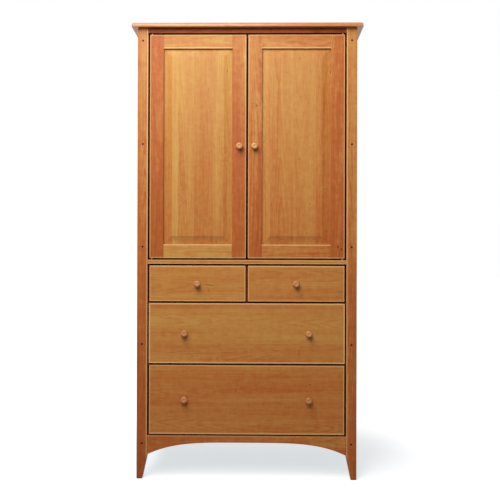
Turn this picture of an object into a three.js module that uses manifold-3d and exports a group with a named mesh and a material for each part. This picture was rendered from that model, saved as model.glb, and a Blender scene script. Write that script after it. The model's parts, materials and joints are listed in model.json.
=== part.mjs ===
/**
 * Shaker style armoire in solid cherry: two raised panel doors over two short and two wide drawers,
 * between corner posts that run down into tapered feet.
 *
 * Millimetres. +X to the right, +Y into the cabinet, +Z up, the doors face -Y. The origin is on the
 * floor, in the middle of the footprint.
 *
 * Each board, rail, hinge leaf and knob is a named mesh of its own. Glued and running joints both
 * keep a small clearance, so no two meshes touch.
 */
import * as THREE from 'three';
import { mergeVertices } from 'three/addons/utils/BufferGeometryUtils.js';
import Module from 'manifold-3d';

const wasm = await Module();
wasm.setup();

// ---------------------------------------------------------------------------------------------
// Driving dimensions
// ---------------------------------------------------------------------------------------------

// Clearances
const JOINT = 0.3; // every glued or seated joint
const DOOR_END_GAP = 4; // above and below the doors
const DOOR_SIDE_GAP = 5.5; // between a door and its post
const DOOR_MEETING_GAP = 4.5; // between the two doors
const DRAWER_SIDE_GAP = 5.5; // between a drawer and its post
const DRAWER_CENTRE_GAP = 6; // between the fronts of the two short drawers
const DRAWER_GAP = 6; // above each drawer front
const APRON_GAP = 5; // between the lowest drawer front and the apron
const STOP_GAP = 0.5; // between a closed front and what stops it

// Case
const CASE_WIDTH = 930; // over the posts
const CASE_DEPTH = 535; // over the posts
const POST_SIZE = 44.5;
const LEG_HEIGHT = 102; // tapered part of a post, below the apron
const FOOT_SIZE = 24; // each side of the foot at the floor
const FRONT_SETBACK = 1.5; // rails, doors and drawers behind the post faces
const FRONT_THICKNESS = 20; // of rails, door frames and drawer fronts
const TENON_THICKNESS = 8;
const TENON_LENGTH = 18;
const TENON_SHOULDER = 4; // wood above and below a tenon

// Heights, from the feet up
const ARCH_RISE = 52;
const APRON_CROWN = 30.5; // height of the apron above the middle of its arch
const BOTTOM_FRONT_HEIGHT = 294;
const MIDDLE_FRONT_HEIGHT = 254.5;
const TOP_FRONT_HEIGHT = 153.5;
const MIDDLE_RAIL_HEIGHT = 19;
const MIDDLE_RAIL_DEPTH = 44;
const DOOR_HEIGHT = 951.5;
const TOP_RAIL_HEIGHT = 22;

// Top
const TOP_THICKNESS = 20;
const TOP_OVERHANG = 24; // in front and at the sides
const TOP_ROUND_WIDTH = 13; // rounding of the upper edge, across the top
const TOP_ROUND_HEIGHT = 14;

// Panels and boards of the case
const SIDE_THICKNESS = 19;
const SIDE_INSET = 12.7; // behind the outer faces of the posts
const TONGUE = 10; // of the side panels and the back in their posts
const BACK_THICKNESS = 9;
const SHELF_THICKNESS = 18; // wardrobe floor, dust panels and bottom
const PARTITION_THICKNESS = 14;

// Wardrobe fittings
const ROD_RADIUS = 12.7;
const ROD_BELOW_TOP = 75;
const ROD_SOCKET_DEPTH = 8;
const STOP_STRIP_DROP = 18; // door stop below the top rail
const STOP_STRIP_DEPTH = 18;

// Doors
const DOOR_MEMBER_WIDTH = 61;
const PANEL_TONGUE_THICKNESS = 6;
const PANEL_TONGUE_LENGTH = 10;
const PANEL_TONGUE_SETBACK = 7.5; // door face to tongue
const PANEL_BEVEL_WIDTH = 35;
const PANEL_FIELD_SETBACK = 1.2; // raised field behind the door face
const DOOR_TENON_LENGTH = 30;

// Pivot hinges, let into the ends of the doors
const PIVOT_INSET = 10; // pin axis from the outer edge of the door
const PIVOT_SWEEP_CLEARANCE = 1.5; // round the corner of the turning door
const HINGE_LEAF_LENGTH = 50;
const HINGE_LEAF_END = 9; // pin axis to the outer end of a leaf
const HINGE_LEAF_WIDTH = 12;
const HINGE_LEAF_THICKNESS = 2.4;
const HINGE_PIN_RADIUS = 2;
const HINGE_COLLAR_RADIUS = 4.5;

// Drawer boxes
const DRAWER_SIDE_THICKNESS = 12;
const DRAWER_SIDE_DROP = 14; // sides below the top edge of the front
const DRAWER_BACK_DROP = 6; // back below the top edges of the sides
const DRAWER_BACK_INSET = 10; // back in from the ends of the sides
const DRAWER_BACK_CLEARANCE = 34.5; // between the ends of the sides and the back of the case
const DRAWER_HOUSING = 5; // depth of the back in the sides
const DRAWER_BOTTOM_THICKNESS = 6;
const DRAWER_BOTTOM_RAISE = 12; // underside of the bottom above the lower edges of the sides
const DRAWER_BOTTOM_TONGUE = 6; // how far the bottom enters front and sides
const SHORT_DRAWER_CLEARANCE = 3; // between a short drawer and the partition
const DOVETAIL_LENGTH = 13; // lap of a side into the front
const DOVETAIL_PITCH = 42; // height that one tail and its pin share, about
const DOVETAIL_FLARE = 2; // of each flank of a tail
const DOVETAIL_PIN = 10; // wood between two tails, at their roots
const SLIDING_TAIL_LENGTH = 8;
const SLIDING_TAIL_ROOT = 6;
const SLIDING_TAIL_END = 9;

// Knobs
const KNOB_DIAMETER = 31;
const KNOB_PROJECTION = 27;
const KNOB_RIM_HEIGHT = 17; // face of the front to the widest circle
const KNOB_NECK_RADIUS = 6.5;
const KNOB_NECK_HEIGHT = 7;
const KNOB_FOOT_RADIUS = 9;
const KNOB_DISH_RADIUS = 6;
const KNOB_DISH_DEPTH = 1.6;
const KNOB_SPIGOT_RADIUS = 5;
const KNOB_SPIGOT_LENGTH = 14;
const DOOR_KNOB_INSET = 30; // from the meeting edge of the door
const WIDE_KNOB_OFFSET = 263; // knobs of the wide drawers, from the middle

// Fineness of round shapes, and how far joined solids run into each other
const ARCH_STEPS = 36;
const TOP_ROUND_STEPS = 6;
const KNOB_CURVE_STEPS = 3;
const KNOB_SEGMENTS = 20;
const PIN_SEGMENTS = 16;
const ROD_SEGMENTS = 24;
const OVERLAP = 1;

// ---------------------------------------------------------------------------------------------
// Places that follow from them
// ---------------------------------------------------------------------------------------------

const HALF_WIDTH = CASE_WIDTH / 2;
const FRONT_REACH = Math.max(TOP_OVERHANG, KNOB_PROJECTION - FRONT_SETBACK);
const FRONT_Y = -(CASE_DEPTH - FRONT_REACH) / 2; // front faces of the posts
const BACK_Y = FRONT_Y + CASE_DEPTH;
const FACE_Y = FRONT_Y + FRONT_SETBACK; // front faces of rails, doors and drawers
const FACE_BACK_Y = FACE_Y + FRONT_THICKNESS;
const FACE_MIDDLE_Y = FACE_Y + FRONT_THICKNESS / 2;
const STOPPED_Y = FACE_BACK_Y + STOP_GAP; // front edges of what stops doors and drawers
const POST_BACK_Y = FRONT_Y + POST_SIZE; // inner faces of the front posts
const REAR_POST_Y = BACK_Y - POST_SIZE; // inner faces of the back posts
const BACK_PANEL_Y = BACK_Y - BACK_THICKNESS; // inner face of the back
const OPENING_HALF = HALF_WIDTH - POST_SIZE; // middle to the inner side of a post
const SIDE_OUTER = HALF_WIDTH - SIDE_INSET;
const SIDE_INNER = SIDE_OUTER - SIDE_THICKNESS;
const SIDE_MIDDLE = (SIDE_OUTER + SIDE_INNER) / 2;

const ARCH_TOP = LEG_HEIGHT + ARCH_RISE;
const APRON_TOP = ARCH_TOP + APRON_CROWN;
const BOTTOM_FRONT = [APRON_TOP + APRON_GAP, APRON_TOP + APRON_GAP + BOTTOM_FRONT_HEIGHT];
const MIDDLE_FRONT = [BOTTOM_FRONT[1] + DRAWER_GAP, BOTTOM_FRONT[1] + DRAWER_GAP + MIDDLE_FRONT_HEIGHT];
const TOP_FRONT = [MIDDLE_FRONT[1] + DRAWER_GAP, MIDDLE_FRONT[1] + DRAWER_GAP + TOP_FRONT_HEIGHT];
const MIDDLE_RAIL = [TOP_FRONT[1] + DRAWER_GAP, TOP_FRONT[1] + DRAWER_GAP + MIDDLE_RAIL_HEIGHT];
const DOOR = [MIDDLE_RAIL[1] + DOOR_END_GAP, MIDDLE_RAIL[1] + DOOR_END_GAP + DOOR_HEIGHT];
const TOP_RAIL_Z = DOOR[1] + DOOR_END_GAP;
const TOP_Z = TOP_RAIL_Z + TOP_RAIL_HEIGHT; // underside of the top
const TOTAL_Z = TOP_Z + TOP_THICKNESS;
const CASE_TOP_Z = TOP_Z - JOINT; // upper ends of all that carries the top
const TOP_RAIL = [TOP_RAIL_Z, CASE_TOP_Z];

// Each board behind the drawers is centred on the gap below a front, so that its edge stops it.
const shelfBelow = ([frontZ], gap) => around(frontZ - gap / 2, SHELF_THICKNESS);
const BOTTOM_SHELF = shelfBelow(BOTTOM_FRONT, APRON_GAP);
const LOWER_SHELF = shelfBelow(MIDDLE_FRONT, DRAWER_GAP);
const UPPER_SHELF = shelfBelow(TOP_FRONT, DRAWER_GAP);
const WARDROBE_FLOOR = [MIDDLE_RAIL[1] - SHELF_THICKNESS, MIDDLE_RAIL[1]];

const ROD_Y = (FACE_BACK_Y + BACK_PANEL_Y) / 2;
const ROD_Z = CASE_TOP_Z - ROD_BELOW_TOP;

const DOOR_EDGE = OPENING_HALF - DOOR_SIDE_GAP; // middle to the hinged edge of a door
const PIVOT_X = DOOR_EDGE - PIVOT_INSET;
const PIVOT_SWEEP = Math.hypot(PIVOT_INSET, FRONT_THICKNESS / 2) + PIVOT_SWEEP_CLEARANCE;

// ---------------------------------------------------------------------------------------------
// Materials
// ---------------------------------------------------------------------------------------------

const cherry = () => new THREE.MeshStandardMaterial({ color: 0xb97b42, roughness: 0.45, metalness: 0 });
const maple = () => new THREE.MeshStandardMaterial({ color: 0xd9bd90, roughness: 0.6, metalness: 0 });
const brass = () => new THREE.MeshStandardMaterial({ color: 0xb5924c, roughness: 0.35, metalness: 1 });

// ---------------------------------------------------------------------------------------------
// Ranges: [low, high] along one axis
// ---------------------------------------------------------------------------------------------

function around(middle, size) {
  return [middle - size / 2, middle + size / 2];
}

const grown = ([low, high], by = JOINT) => [low - by, high + by];

/** The range from a place to another one that lies a signed distance away. */
const reach = (from, distance) => (distance > 0 ? [from, from + distance] : [from + distance, from]);

// ---------------------------------------------------------------------------------------------
// Solids
// ---------------------------------------------------------------------------------------------

/** The manifold-3d solid of a closed three.js geometry. */
function solidOf(geometry) {
  geometry.deleteAttribute('normal');
  geometry.deleteAttribute('uv');
  const merged = mergeVertices(geometry);
  const triangles = [];
  for (let i = 0; i < merged.index.count; i += 3) {
    const [a, b, c] = [0, 1, 2].map((corner) => merged.index.getX(i + corner));
    if (a !== b && b !== c && c !== a) triangles.push(a, b, c);
  }
  return new wasm.Manifold(
    new wasm.Mesh({
      numProp: 3,
      vertProperties: new Float32Array(merged.attributes.position.array),
      triVerts: new Uint32Array(triangles),
    })
  );
}

/** A box from its three ranges. */
function block(x, y, z) {
  const geometry = new THREE.BoxGeometry(x[1] - x[0], y[1] - y[0], z[1] - z[0]);
  geometry.translate((x[0] + x[1]) / 2, (y[0] + y[1]) / 2, (z[0] + z[1]) / 2);
  return solidOf(geometry);
}

/** An outline of [u, v] points, extruded from 0 up to a length. */
function extrusion(points, length) {
  const shape = new THREE.Shape(points.map(([u, v]) => new THREE.Vector2(u, v)));
  return new THREE.ExtrudeGeometry(shape, { depth: length, bevelEnabled: false });
}

/** An outline in X and Z, extruded along a range of Y. */
function alongY(points, [y0, y1]) {
  return solidOf(extrusion(points, y1 - y0).rotateX(Math.PI / 2).translate(0, y1, 0));
}

/** An outline in Y and Z, extruded along a range of X. */
function alongX(points, [x0, x1]) {
  return solidOf(extrusion(points, x1 - x0).rotateX(Math.PI / 2).rotateZ(Math.PI / 2).translate(x0, 0, 0));
}

/** An outline in X and Y, extruded along a range of Z. */
function alongZ(points, [z0, z1]) {
  return solidOf(extrusion(points, z1 - z0).translate(0, 0, z0));
}

/** A round bar along an axis, through a point given by its other two coordinates. */
function bar(axis, [a, b], radius, [start, end], segments) {
  const geometry = new THREE.CylinderGeometry(radius, radius, end - start, segments);
  const middle = (start + end) / 2;
  if (axis === 'x') geometry.rotateZ(Math.PI / 2).translate(middle, a, b);
  if (axis === 'y') geometry.translate(a, middle, b);
  if (axis === 'z') geometry.rotateX(Math.PI / 2).translate(a, b, middle);
  return solidOf(geometry);
}

const joined = (...solids) => solids.reduce((whole, solid) => whole.add(solid));
const cut = (solid, ...cutters) => cutters.reduce((rest, cutter) => rest.subtract(cutter), solid);
const mirrored = (solid) => solid.mirror([1, 0, 0]);

const armoire = new THREE.Group();
armoire.name = 'armoire';

/** Adds a solid to the armoire as a named mesh. */
function add(name, solid, material = cherry()) {
  const { vertProperties, triVerts } = solid.getMesh();
  const geometry = new THREE.BufferGeometry();
  geometry.setAttribute('position', new THREE.BufferAttribute(new Float32Array(vertProperties), 3));
  geometry.setIndex(new THREE.BufferAttribute(new Uint32Array(triVerts), 1));
  geometry.computeVertexNormals();
  const mesh = new THREE.Mesh(geometry, material);
  mesh.name = name;
  armoire.add(mesh);
}

/** Adds a solid made for the right side and its mirror image on the left. */
function addPair(nameOf, rightSolid, material) {
  add(nameOf('left'), mirrored(rightSolid), material?.());
  add(nameOf('right'), rightSolid, material?.());
}

// ---------------------------------------------------------------------------------------------
// Pivot hinges: one pair of leaves at each end of a door
// ---------------------------------------------------------------------------------------------

const LEAF_X = [PIVOT_X + HINGE_LEAF_END - HINGE_LEAF_LENGTH, PIVOT_X + HINGE_LEAF_END];
const LEAF_Y = around(FACE_MIDDLE_Y, HINGE_LEAF_WIDTH);

/** A right hand leaf let into wood whose surface is at a height; `into` is +1 where the wood is above. */
function leaf(surfaceZ, into) {
  return block(LEAF_X, LEAF_Y, reach(surfaceZ, into * HINGE_LEAF_THICKNESS));
}

/** The recess for such a leaf. */
function leafRecess(surfaceZ, into) {
  const recess = reach(surfaceZ - into * JOINT, into * (HINGE_LEAF_THICKNESS + 2 * JOINT));
  return block(grown(LEAF_X), grown(LEAF_Y), recess);
}

/** Hinges at one end of the doors; `up` is +1 at the top end. */
function addHinges(end, doorEndZ, up) {
  const railZ = doorEndZ + up * DOOR_END_GAP;
  const collar = reach(railZ + up * OVERLAP, -up * (DOOR_END_GAP - JOINT + OVERLAP));
  const pin = reach(railZ + up * OVERLAP, -up * (DOOR_END_GAP + HINGE_LEAF_THICKNESS + OVERLAP));
  const axis = [PIVOT_X, FACE_MIDDLE_Y];
  const frameLeaf = joined(
    leaf(railZ, up),
    bar('z', axis, HINGE_COLLAR_RADIUS, collar, PIN_SEGMENTS),
    bar('z', axis, HINGE_PIN_RADIUS, pin, PIN_SEGMENTS)
  );
  const pinHole = grown(reach(doorEndZ, -up * HINGE_LEAF_THICKNESS), OVERLAP);
  const doorLeaf = cut(
    leaf(doorEndZ, -up),
    bar('z', axis, HINGE_PIN_RADIUS + JOINT, pinHole, PIN_SEGMENTS)
  );
  addPair((side) => `${side}_door_${end}_hinge_frame_leaf`, frameLeaf, brass);
  addPair((side) => `${side}_door_${end}_hinge_door_leaf`, doorLeaf, brass);
}

// ---------------------------------------------------------------------------------------------
// Posts, with mortises for the rails and grooves for the side panels and back
// ---------------------------------------------------------------------------------------------

const TENON_Y = around(FACE_MIDDLE_Y, TENON_THICKNESS);
const RAIL_TENONS = {
  apron: grown([LEG_HEIGHT + ARCH_RISE, APRON_TOP], -TENON_SHOULDER),
  middle: grown(MIDDLE_RAIL, -TENON_SHOULDER),
  top: grown(TOP_RAIL, -TENON_SHOULDER),
};

/** Square-on outline of a post: straight outside, tapered inside below the apron. */
function postOutline(outer, inward) {
  return [
    [outer, 0],
    [outer + inward * FOOT_SIZE, 0],
    [outer + inward * POST_SIZE, LEG_HEIGHT],
    [outer + inward * POST_SIZE, CASE_TOP_Z],
    [outer, CASE_TOP_Z],
  ];
}

/** The right post at the front or the back, grooved for its side panel. */
function rightPost(outerY, inward) {
  const innerY = outerY + inward * POST_SIZE;
  const across = alongY(postOutline(HALF_WIDTH, -1), grown(around(outerY, 2 * POST_SIZE), OVERLAP));
  const deep = alongX(postOutline(outerY, inward), grown([OPENING_HALF, HALF_WIDTH], OVERLAP));
  const groove = block(
    grown(around(SIDE_MIDDLE, TENON_THICKNESS)),
    reach(innerY + inward * JOINT, -inward * (TONGUE + 2 * JOINT)),
    [LEG_HEIGHT, CASE_TOP_Z + OVERLAP]
  );
  return cut(across.intersect(deep), groove);
}

function addPosts() {
  const mortises = Object.values(RAIL_TENONS).map((heights) =>
    block([OPENING_HALF - OVERLAP, OPENING_HALF + TENON_LENGTH + JOINT], grown(TENON_Y), grown(heights))
  );
  const backRabbet = block(
    [OPENING_HALF - OVERLAP, OPENING_HALF + TONGUE + JOINT],
    [BACK_PANEL_Y - JOINT, BACK_Y + OVERLAP],
    [BOTTOM_SHELF[0] - JOINT, CASE_TOP_Z + OVERLAP]
  );
  addPair((side) => `front_${side}_post`, cut(rightPost(FRONT_Y, 1), ...mortises));
  addPair((side) => `back_${side}_post`, cut(rightPost(BACK_Y, -1), backRabbet));
}

// ---------------------------------------------------------------------------------------------
// Rails and apron
// ---------------------------------------------------------------------------------------------

/** Lower edge of an arched board, as points from one end to the other. */
function archPoints([start, end]) {
  const half = (end - start) / 2;
  const points = [];
  for (let i = 0; i <= ARCH_STEPS; i += 1) {
    const u = -Math.cos((Math.PI * i) / ARCH_STEPS); // closer points near the ends
    points.push([start + half * (1 + u), ARCH_TOP - ARCH_RISE * u ** 4]);
  }
  return points;
}

/** A rail body between the front posts, with a tenon at each end. */
function tenoned(body, heights) {
  const tenon = block([OPENING_HALF - JOINT - OVERLAP, OPENING_HALF + TENON_LENGTH], TENON_Y, heights);
  return joined(body, tenon, mirrored(tenon));
}

function addRails() {
  const x = grown([-OPENING_HALF, OPENING_HALF], -JOINT);
  const depth = [FACE_Y, FACE_BACK_Y];
  const outline = [...archPoints(x), [x[1], APRON_TOP], [x[0], APRON_TOP]];
  add('apron', tenoned(alongY(outline, depth), RAIL_TENONS.apron));

  const middleBody = block(x, [FACE_Y, FACE_Y + MIDDLE_RAIL_DEPTH], MIDDLE_RAIL);
  const lowerRecess = leafRecess(MIDDLE_RAIL[1], -1);
  add('middle_rail', cut(tenoned(middleBody, RAIL_TENONS.middle), lowerRecess, mirrored(lowerRecess)));

  const upperRecess = leafRecess(TOP_RAIL[0], 1);
  const topBody = block(x, depth, TOP_RAIL);
  add('top_rail', cut(tenoned(topBody, RAIL_TENONS.top), upperRecess, mirrored(upperRecess)));
}

// ---------------------------------------------------------------------------------------------
// Side panels, back, boards between them and top
// ---------------------------------------------------------------------------------------------

function addSidePanels() {
  const y = grown([POST_BACK_Y, REAR_POST_Y], -JOINT);
  const outline = [...archPoints(y), [y[1], CASE_TOP_Z], [y[0], CASE_TOP_Z]];
  const board = alongX(outline, [SIDE_INNER, SIDE_OUTER]);
  const tongues = block(
    around(SIDE_MIDDLE, TENON_THICKNESS),
    [POST_BACK_Y - TONGUE, REAR_POST_Y + TONGUE],
    [ARCH_TOP, CASE_TOP_Z]
  );
  const rodSocket = [SIDE_INNER - OVERLAP, SIDE_INNER + ROD_SOCKET_DEPTH + JOINT];
  const socket = bar('x', [ROD_Y, ROD_Z], ROD_RADIUS + JOINT, rodSocket, ROD_SEGMENTS);
  addPair((side) => `${side}_side_panel`, cut(joined(board, tongues), socket));
}

function addBackPanel() {
  const half = OPENING_HALF + TONGUE;
  add('back_panel', block([-half, half], [BACK_PANEL_Y, BACK_Y - JOINT], [BOTTOM_SHELF[0], CASE_TOP_Z]));
}

/** A board from side panel to side panel, notched round the posts. */
function shelf(frontY, heights) {
  const backY = BACK_PANEL_Y - JOINT;
  const edge = OPENING_HALF - JOINT;
  const side = SIDE_INNER - JOINT;
  const between = [Math.max(frontY, POST_BACK_Y + JOINT), Math.min(backY, REAR_POST_Y - JOINT)];
  return joined(block([-edge, edge], [frontY, backY], heights), block([-side, side], between, heights));
}

function addShelves() {
  add('wardrobe_floor', shelf(FACE_Y + MIDDLE_RAIL_DEPTH + JOINT, WARDROBE_FLOOR));
  add('upper_dust_panel', shelf(STOPPED_Y, UPPER_SHELF), maple());
  add('lower_dust_panel', shelf(STOPPED_Y, LOWER_SHELF), maple());
  add('bottom_panel', shelf(STOPPED_Y, BOTTOM_SHELF), maple());
  const partitionTop = Math.min(MIDDLE_RAIL[0], WARDROBE_FLOOR[0]) - JOINT;
  add(
    'drawer_partition',
    block(
      around(0, PARTITION_THICKNESS),
      [STOPPED_Y, BACK_PANEL_Y - JOINT],
      [UPPER_SHELF[1] + JOINT, partitionTop]
    ),
    maple()
  );
}

/** Outline of the upper rounding of the top: [distance out, height], from the underside up. */
function topEdge(edge, outward) {
  const points = [[edge, TOP_Z]];
  for (let i = 0; i <= TOP_ROUND_STEPS; i += 1) {
    const angle = ((Math.PI / 2) * i) / TOP_ROUND_STEPS;
    const inset = TOP_ROUND_WIDTH * (1 - Math.cos(angle));
    points.push([edge - outward * inset, TOTAL_Z - TOP_ROUND_HEIGHT * (1 - Math.sin(angle))]);
  }
  return points;
}

function addTop() {
  const half = HALF_WIDTH + TOP_OVERHANG;
  const frontY = FRONT_Y - TOP_OVERHANG;
  const across = alongY([...topEdge(half, 1), ...topEdge(-half, -1).reverse()], [frontY - OVERLAP, BACK_Y]);
  const backEdge = [[BACK_Y + OVERLAP, TOTAL_Z], [BACK_Y + OVERLAP, TOP_Z]];
  const deep = alongX([...topEdge(frontY, -1), ...backEdge], grown([-half, half], OVERLAP));
  add('top', across.intersect(deep));
}

// ---------------------------------------------------------------------------------------------
// Wardrobe fittings
// ---------------------------------------------------------------------------------------------

function addWardrobeFittings() {
  const rodEnd = SIDE_INNER + ROD_SOCKET_DEPTH;
  add('clothes_rod', bar('x', [ROD_Y, ROD_Z], ROD_RADIUS, [-rodEnd, rodEnd], ROD_SEGMENTS), maple());
  // The strip stays clear of the corners that the turning doors swing past it.
  const stripEnd = PIVOT_X - PIVOT_SWEEP;
  add(
    'door_stop_strip',
    block(
      [-stripEnd, stripEnd],
      [STOPPED_Y, STOPPED_Y + STOP_STRIP_DEPTH],
      [TOP_RAIL[0] - STOP_STRIP_DROP, CASE_TOP_Z]
    )
  );
}

// ---------------------------------------------------------------------------------------------
// Knobs
// ---------------------------------------------------------------------------------------------

/** A turned knob on a front face, with its spigot in the wood behind. */
function knob(x, z) {
  const rim = KNOB_DIAMETER / 2;
  const dishBottom = KNOB_PROJECTION - KNOB_DISH_DEPTH;
  const outline = new THREE.Path();
  outline.moveTo(0, -KNOB_SPIGOT_LENGTH);
  outline.lineTo(KNOB_SPIGOT_RADIUS, -KNOB_SPIGOT_LENGTH);
  outline.lineTo(KNOB_SPIGOT_RADIUS, JOINT);
  outline.lineTo(KNOB_FOOT_RADIUS, JOINT);
  outline.quadraticCurveTo(KNOB_NECK_RADIUS, JOINT, KNOB_NECK_RADIUS, KNOB_NECK_HEIGHT);
  outline.quadraticCurveTo(KNOB_NECK_RADIUS, KNOB_RIM_HEIGHT, rim, KNOB_RIM_HEIGHT);
  outline.quadraticCurveTo(rim, KNOB_PROJECTION, KNOB_DISH_RADIUS, KNOB_PROJECTION);
  outline.quadraticCurveTo(KNOB_DISH_RADIUS / 2, dishBottom, 0, dishBottom);
  const turned = new THREE.LatheGeometry(outline.getPoints(KNOB_CURVE_STEPS), KNOB_SEGMENTS);
  return solidOf(turned.rotateX(Math.PI).translate(x, FACE_Y, z));
}

/** The hole that takes the spigot of such a knob. */
function knobHole(x, z) {
  const depth = [FACE_Y - OVERLAP, FACE_Y + KNOB_SPIGOT_LENGTH + JOINT];
  return bar('y', [x, z], KNOB_SPIGOT_RADIUS + JOINT, depth, KNOB_SEGMENTS);
}

// ---------------------------------------------------------------------------------------------
// Doors: a mortised frame round a raised panel, made for the right and mirrored
// ---------------------------------------------------------------------------------------------

/** The raised panel: square-on and side outlines share one bevel, which gives the mitred corners. */
function raisedPanel(x, z) {
  const tongueY = FACE_Y + PANEL_TONGUE_SETBACK;
  const fieldY = FACE_Y + PANEL_FIELD_SETBACK;
  const backY = tongueY + PANEL_TONGUE_THICKNESS;
  const bevelled = ([u0, u1]) => [
    [u0, backY],
    [u0, tongueY],
    [u0 + PANEL_TONGUE_LENGTH, tongueY],
    [u0 + PANEL_TONGUE_LENGTH + PANEL_BEVEL_WIDTH, fieldY],
    [u1 - PANEL_TONGUE_LENGTH - PANEL_BEVEL_WIDTH, fieldY],
    [u1 - PANEL_TONGUE_LENGTH, tongueY],
    [u1, tongueY],
    [u1, backY],
  ];
  const upright = alongZ(bevelled(x), grown(z, OVERLAP));
  const level = alongX(bevelled(z).map(([u, y]) => [y, u]), grown(x, OVERLAP));
  return upright.intersect(level);
}

function addDoors() {
  const meetingEdge = DOOR_MEETING_GAP / 2;
  const faceRange = [FACE_Y, FACE_BACK_Y];
  const lock = [meetingEdge, meetingEdge + DOOR_MEMBER_WIDTH];
  const hinge = [DOOR_EDGE - DOOR_MEMBER_WIDTH, DOOR_EDGE];
  const bottom = [DOOR[0], DOOR[0] + DOOR_MEMBER_WIDTH];
  const top = [DOOR[1] - DOOR_MEMBER_WIDTH, DOOR[1]];
  const panelX = grown([lock[1], hinge[0]], PANEL_TONGUE_LENGTH);
  const panelZ = grown([bottom[1], top[0]], PANEL_TONGUE_LENGTH);

  const tongueY = reach(FACE_Y + PANEL_TONGUE_SETBACK, PANEL_TONGUE_THICKNESS);
  const panelGroove = block(grown(panelX), grown(tongueY), grown(panelZ));
  const tenonX = grown([lock[1], hinge[0]], DOOR_TENON_LENGTH);
  const tenonZ = (member) => grown(member, -PANEL_TONGUE_LENGTH - JOINT);
  const tenonCuts = [bottom, top].map((member) => block(grown(tenonX), grown(tongueY), grown(tenonZ(member))));

  const rail = (member) => {
    const body = cut(block(grown([lock[1], hinge[0]], -JOINT), faceRange, member), panelGroove);
    return joined(body, block(tenonX, tongueY, tenonZ(member)));
  };
  const knobAt = [meetingEdge + DOOR_KNOB_INSET, (DOOR[0] + DOOR[1]) / 2];
  const lockStile = cut(block(lock, faceRange, DOOR), panelGroove, ...tenonCuts, knobHole(...knobAt));
  const recesses = [leafRecess(DOOR[0], 1), leafRecess(DOOR[1], -1)];
  const hingeStile = cut(block(hinge, faceRange, DOOR), panelGroove, ...tenonCuts, ...recesses);

  addPair((side) => `${side}_door_hinge_stile`, hingeStile);
  addPair((side) => `${side}_door_lock_stile`, lockStile);
  addPair((side) => `${side}_door_top_rail`, rail(top));
  addPair((side) => `${side}_door_bottom_rail`, rail(bottom));
  addPair((side) => `${side}_door_panel`, raisedPanel(panelX, panelZ));
  addPair((side) => `${side}_door_knob`, knob(...knobAt));
}

// ---------------------------------------------------------------------------------------------
// Drawers
// ---------------------------------------------------------------------------------------------

const DRAWER_END_Y = BACK_PANEL_Y - DRAWER_BACK_CLEARANCE; // ends of the sides
const DRAWER_BACK_Y = reach(DRAWER_END_Y - DRAWER_BACK_INSET, -DRAWER_SIDE_THICKNESS);
const DRAWER_EDGE = OPENING_HALF - DRAWER_SIDE_GAP; // middle to the outer end of a front

/** Heights of the parts of a drawer, from those of its front and of the board it runs on. */
function drawerHeights(front, shelfHeights) {
  const side = [shelfHeights[1] + JOINT, front[1] - DRAWER_SIDE_DROP];
  const bottom = reach(side[0] + DRAWER_BOTTOM_RAISE, DRAWER_BOTTOM_THICKNESS);
  const back = [bottom[1] + JOINT, side[1] - DRAWER_BACK_DROP];
  return { front, side, bottom, back };
}

/** Tails at the front end of a side board, each grown on all flanks by a clearance. */
function dovetails(x, [z0, z1], by = 0) {
  const count = Math.max(1, Math.round((z1 - z0) / DOVETAIL_PITCH));
  const pitch = (z1 - z0) / count;
  const rootY = FACE_BACK_Y + JOINT + OVERLAP;
  const endY = FACE_BACK_Y - DOVETAIL_LENGTH - by;
  const tails = [];
  for (let i = 0; i < count; i += 1) {
    const root = grown([z0 + i * pitch, z0 + (i + 1) * pitch], by - DOVETAIL_PIN / 2);
    const end = grown(root, DOVETAIL_FLARE);
    const outline = [
      [rootY, root[0]],
      [rootY, root[1]],
      [FACE_BACK_Y, root[1]],
      [endY, end[1]],
      [endY, end[0]],
      [FACE_BACK_Y, root[0]],
    ];
    tails.push(alongX(outline, x));
  }
  return joined(...tails);
}

/** A tail that slides into the back of a front from below, for a side set in from its end. */
function slidingTail(x, z, by = 0) {
  const rootY = FACE_BACK_Y + JOINT + OVERLAP;
  const endY = FACE_BACK_Y - SLIDING_TAIL_LENGTH - by;
  const middle = (x[0] + x[1]) / 2;
  const root = grown(around(middle, SLIDING_TAIL_ROOT), by);
  const end = grown(around(middle, SLIDING_TAIL_END), by);
  const outline = [
    [root[0], rootY],
    [root[0], FACE_BACK_Y],
    [end[0], endY],
    [end[1], endY],
    [root[1], FACE_BACK_Y],
    [root[1], rootY],
  ];
  return alongZ(outline, grown(z, by));
}

/** Ranges of the bottom board between two side boards, and the groove that it needs. */
function drawerBottom(innerX, heights) {
  const x = grown(innerX, DRAWER_BOTTOM_TONGUE);
  const y = [FACE_BACK_Y - DRAWER_BOTTOM_TONGUE, DRAWER_END_Y];
  return {
    board: block(x, y, heights.bottom),
    groove: block(grown(x), [y[0] - JOINT, y[1] + OVERLAP], grown(heights.bottom)),
  };
}

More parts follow.
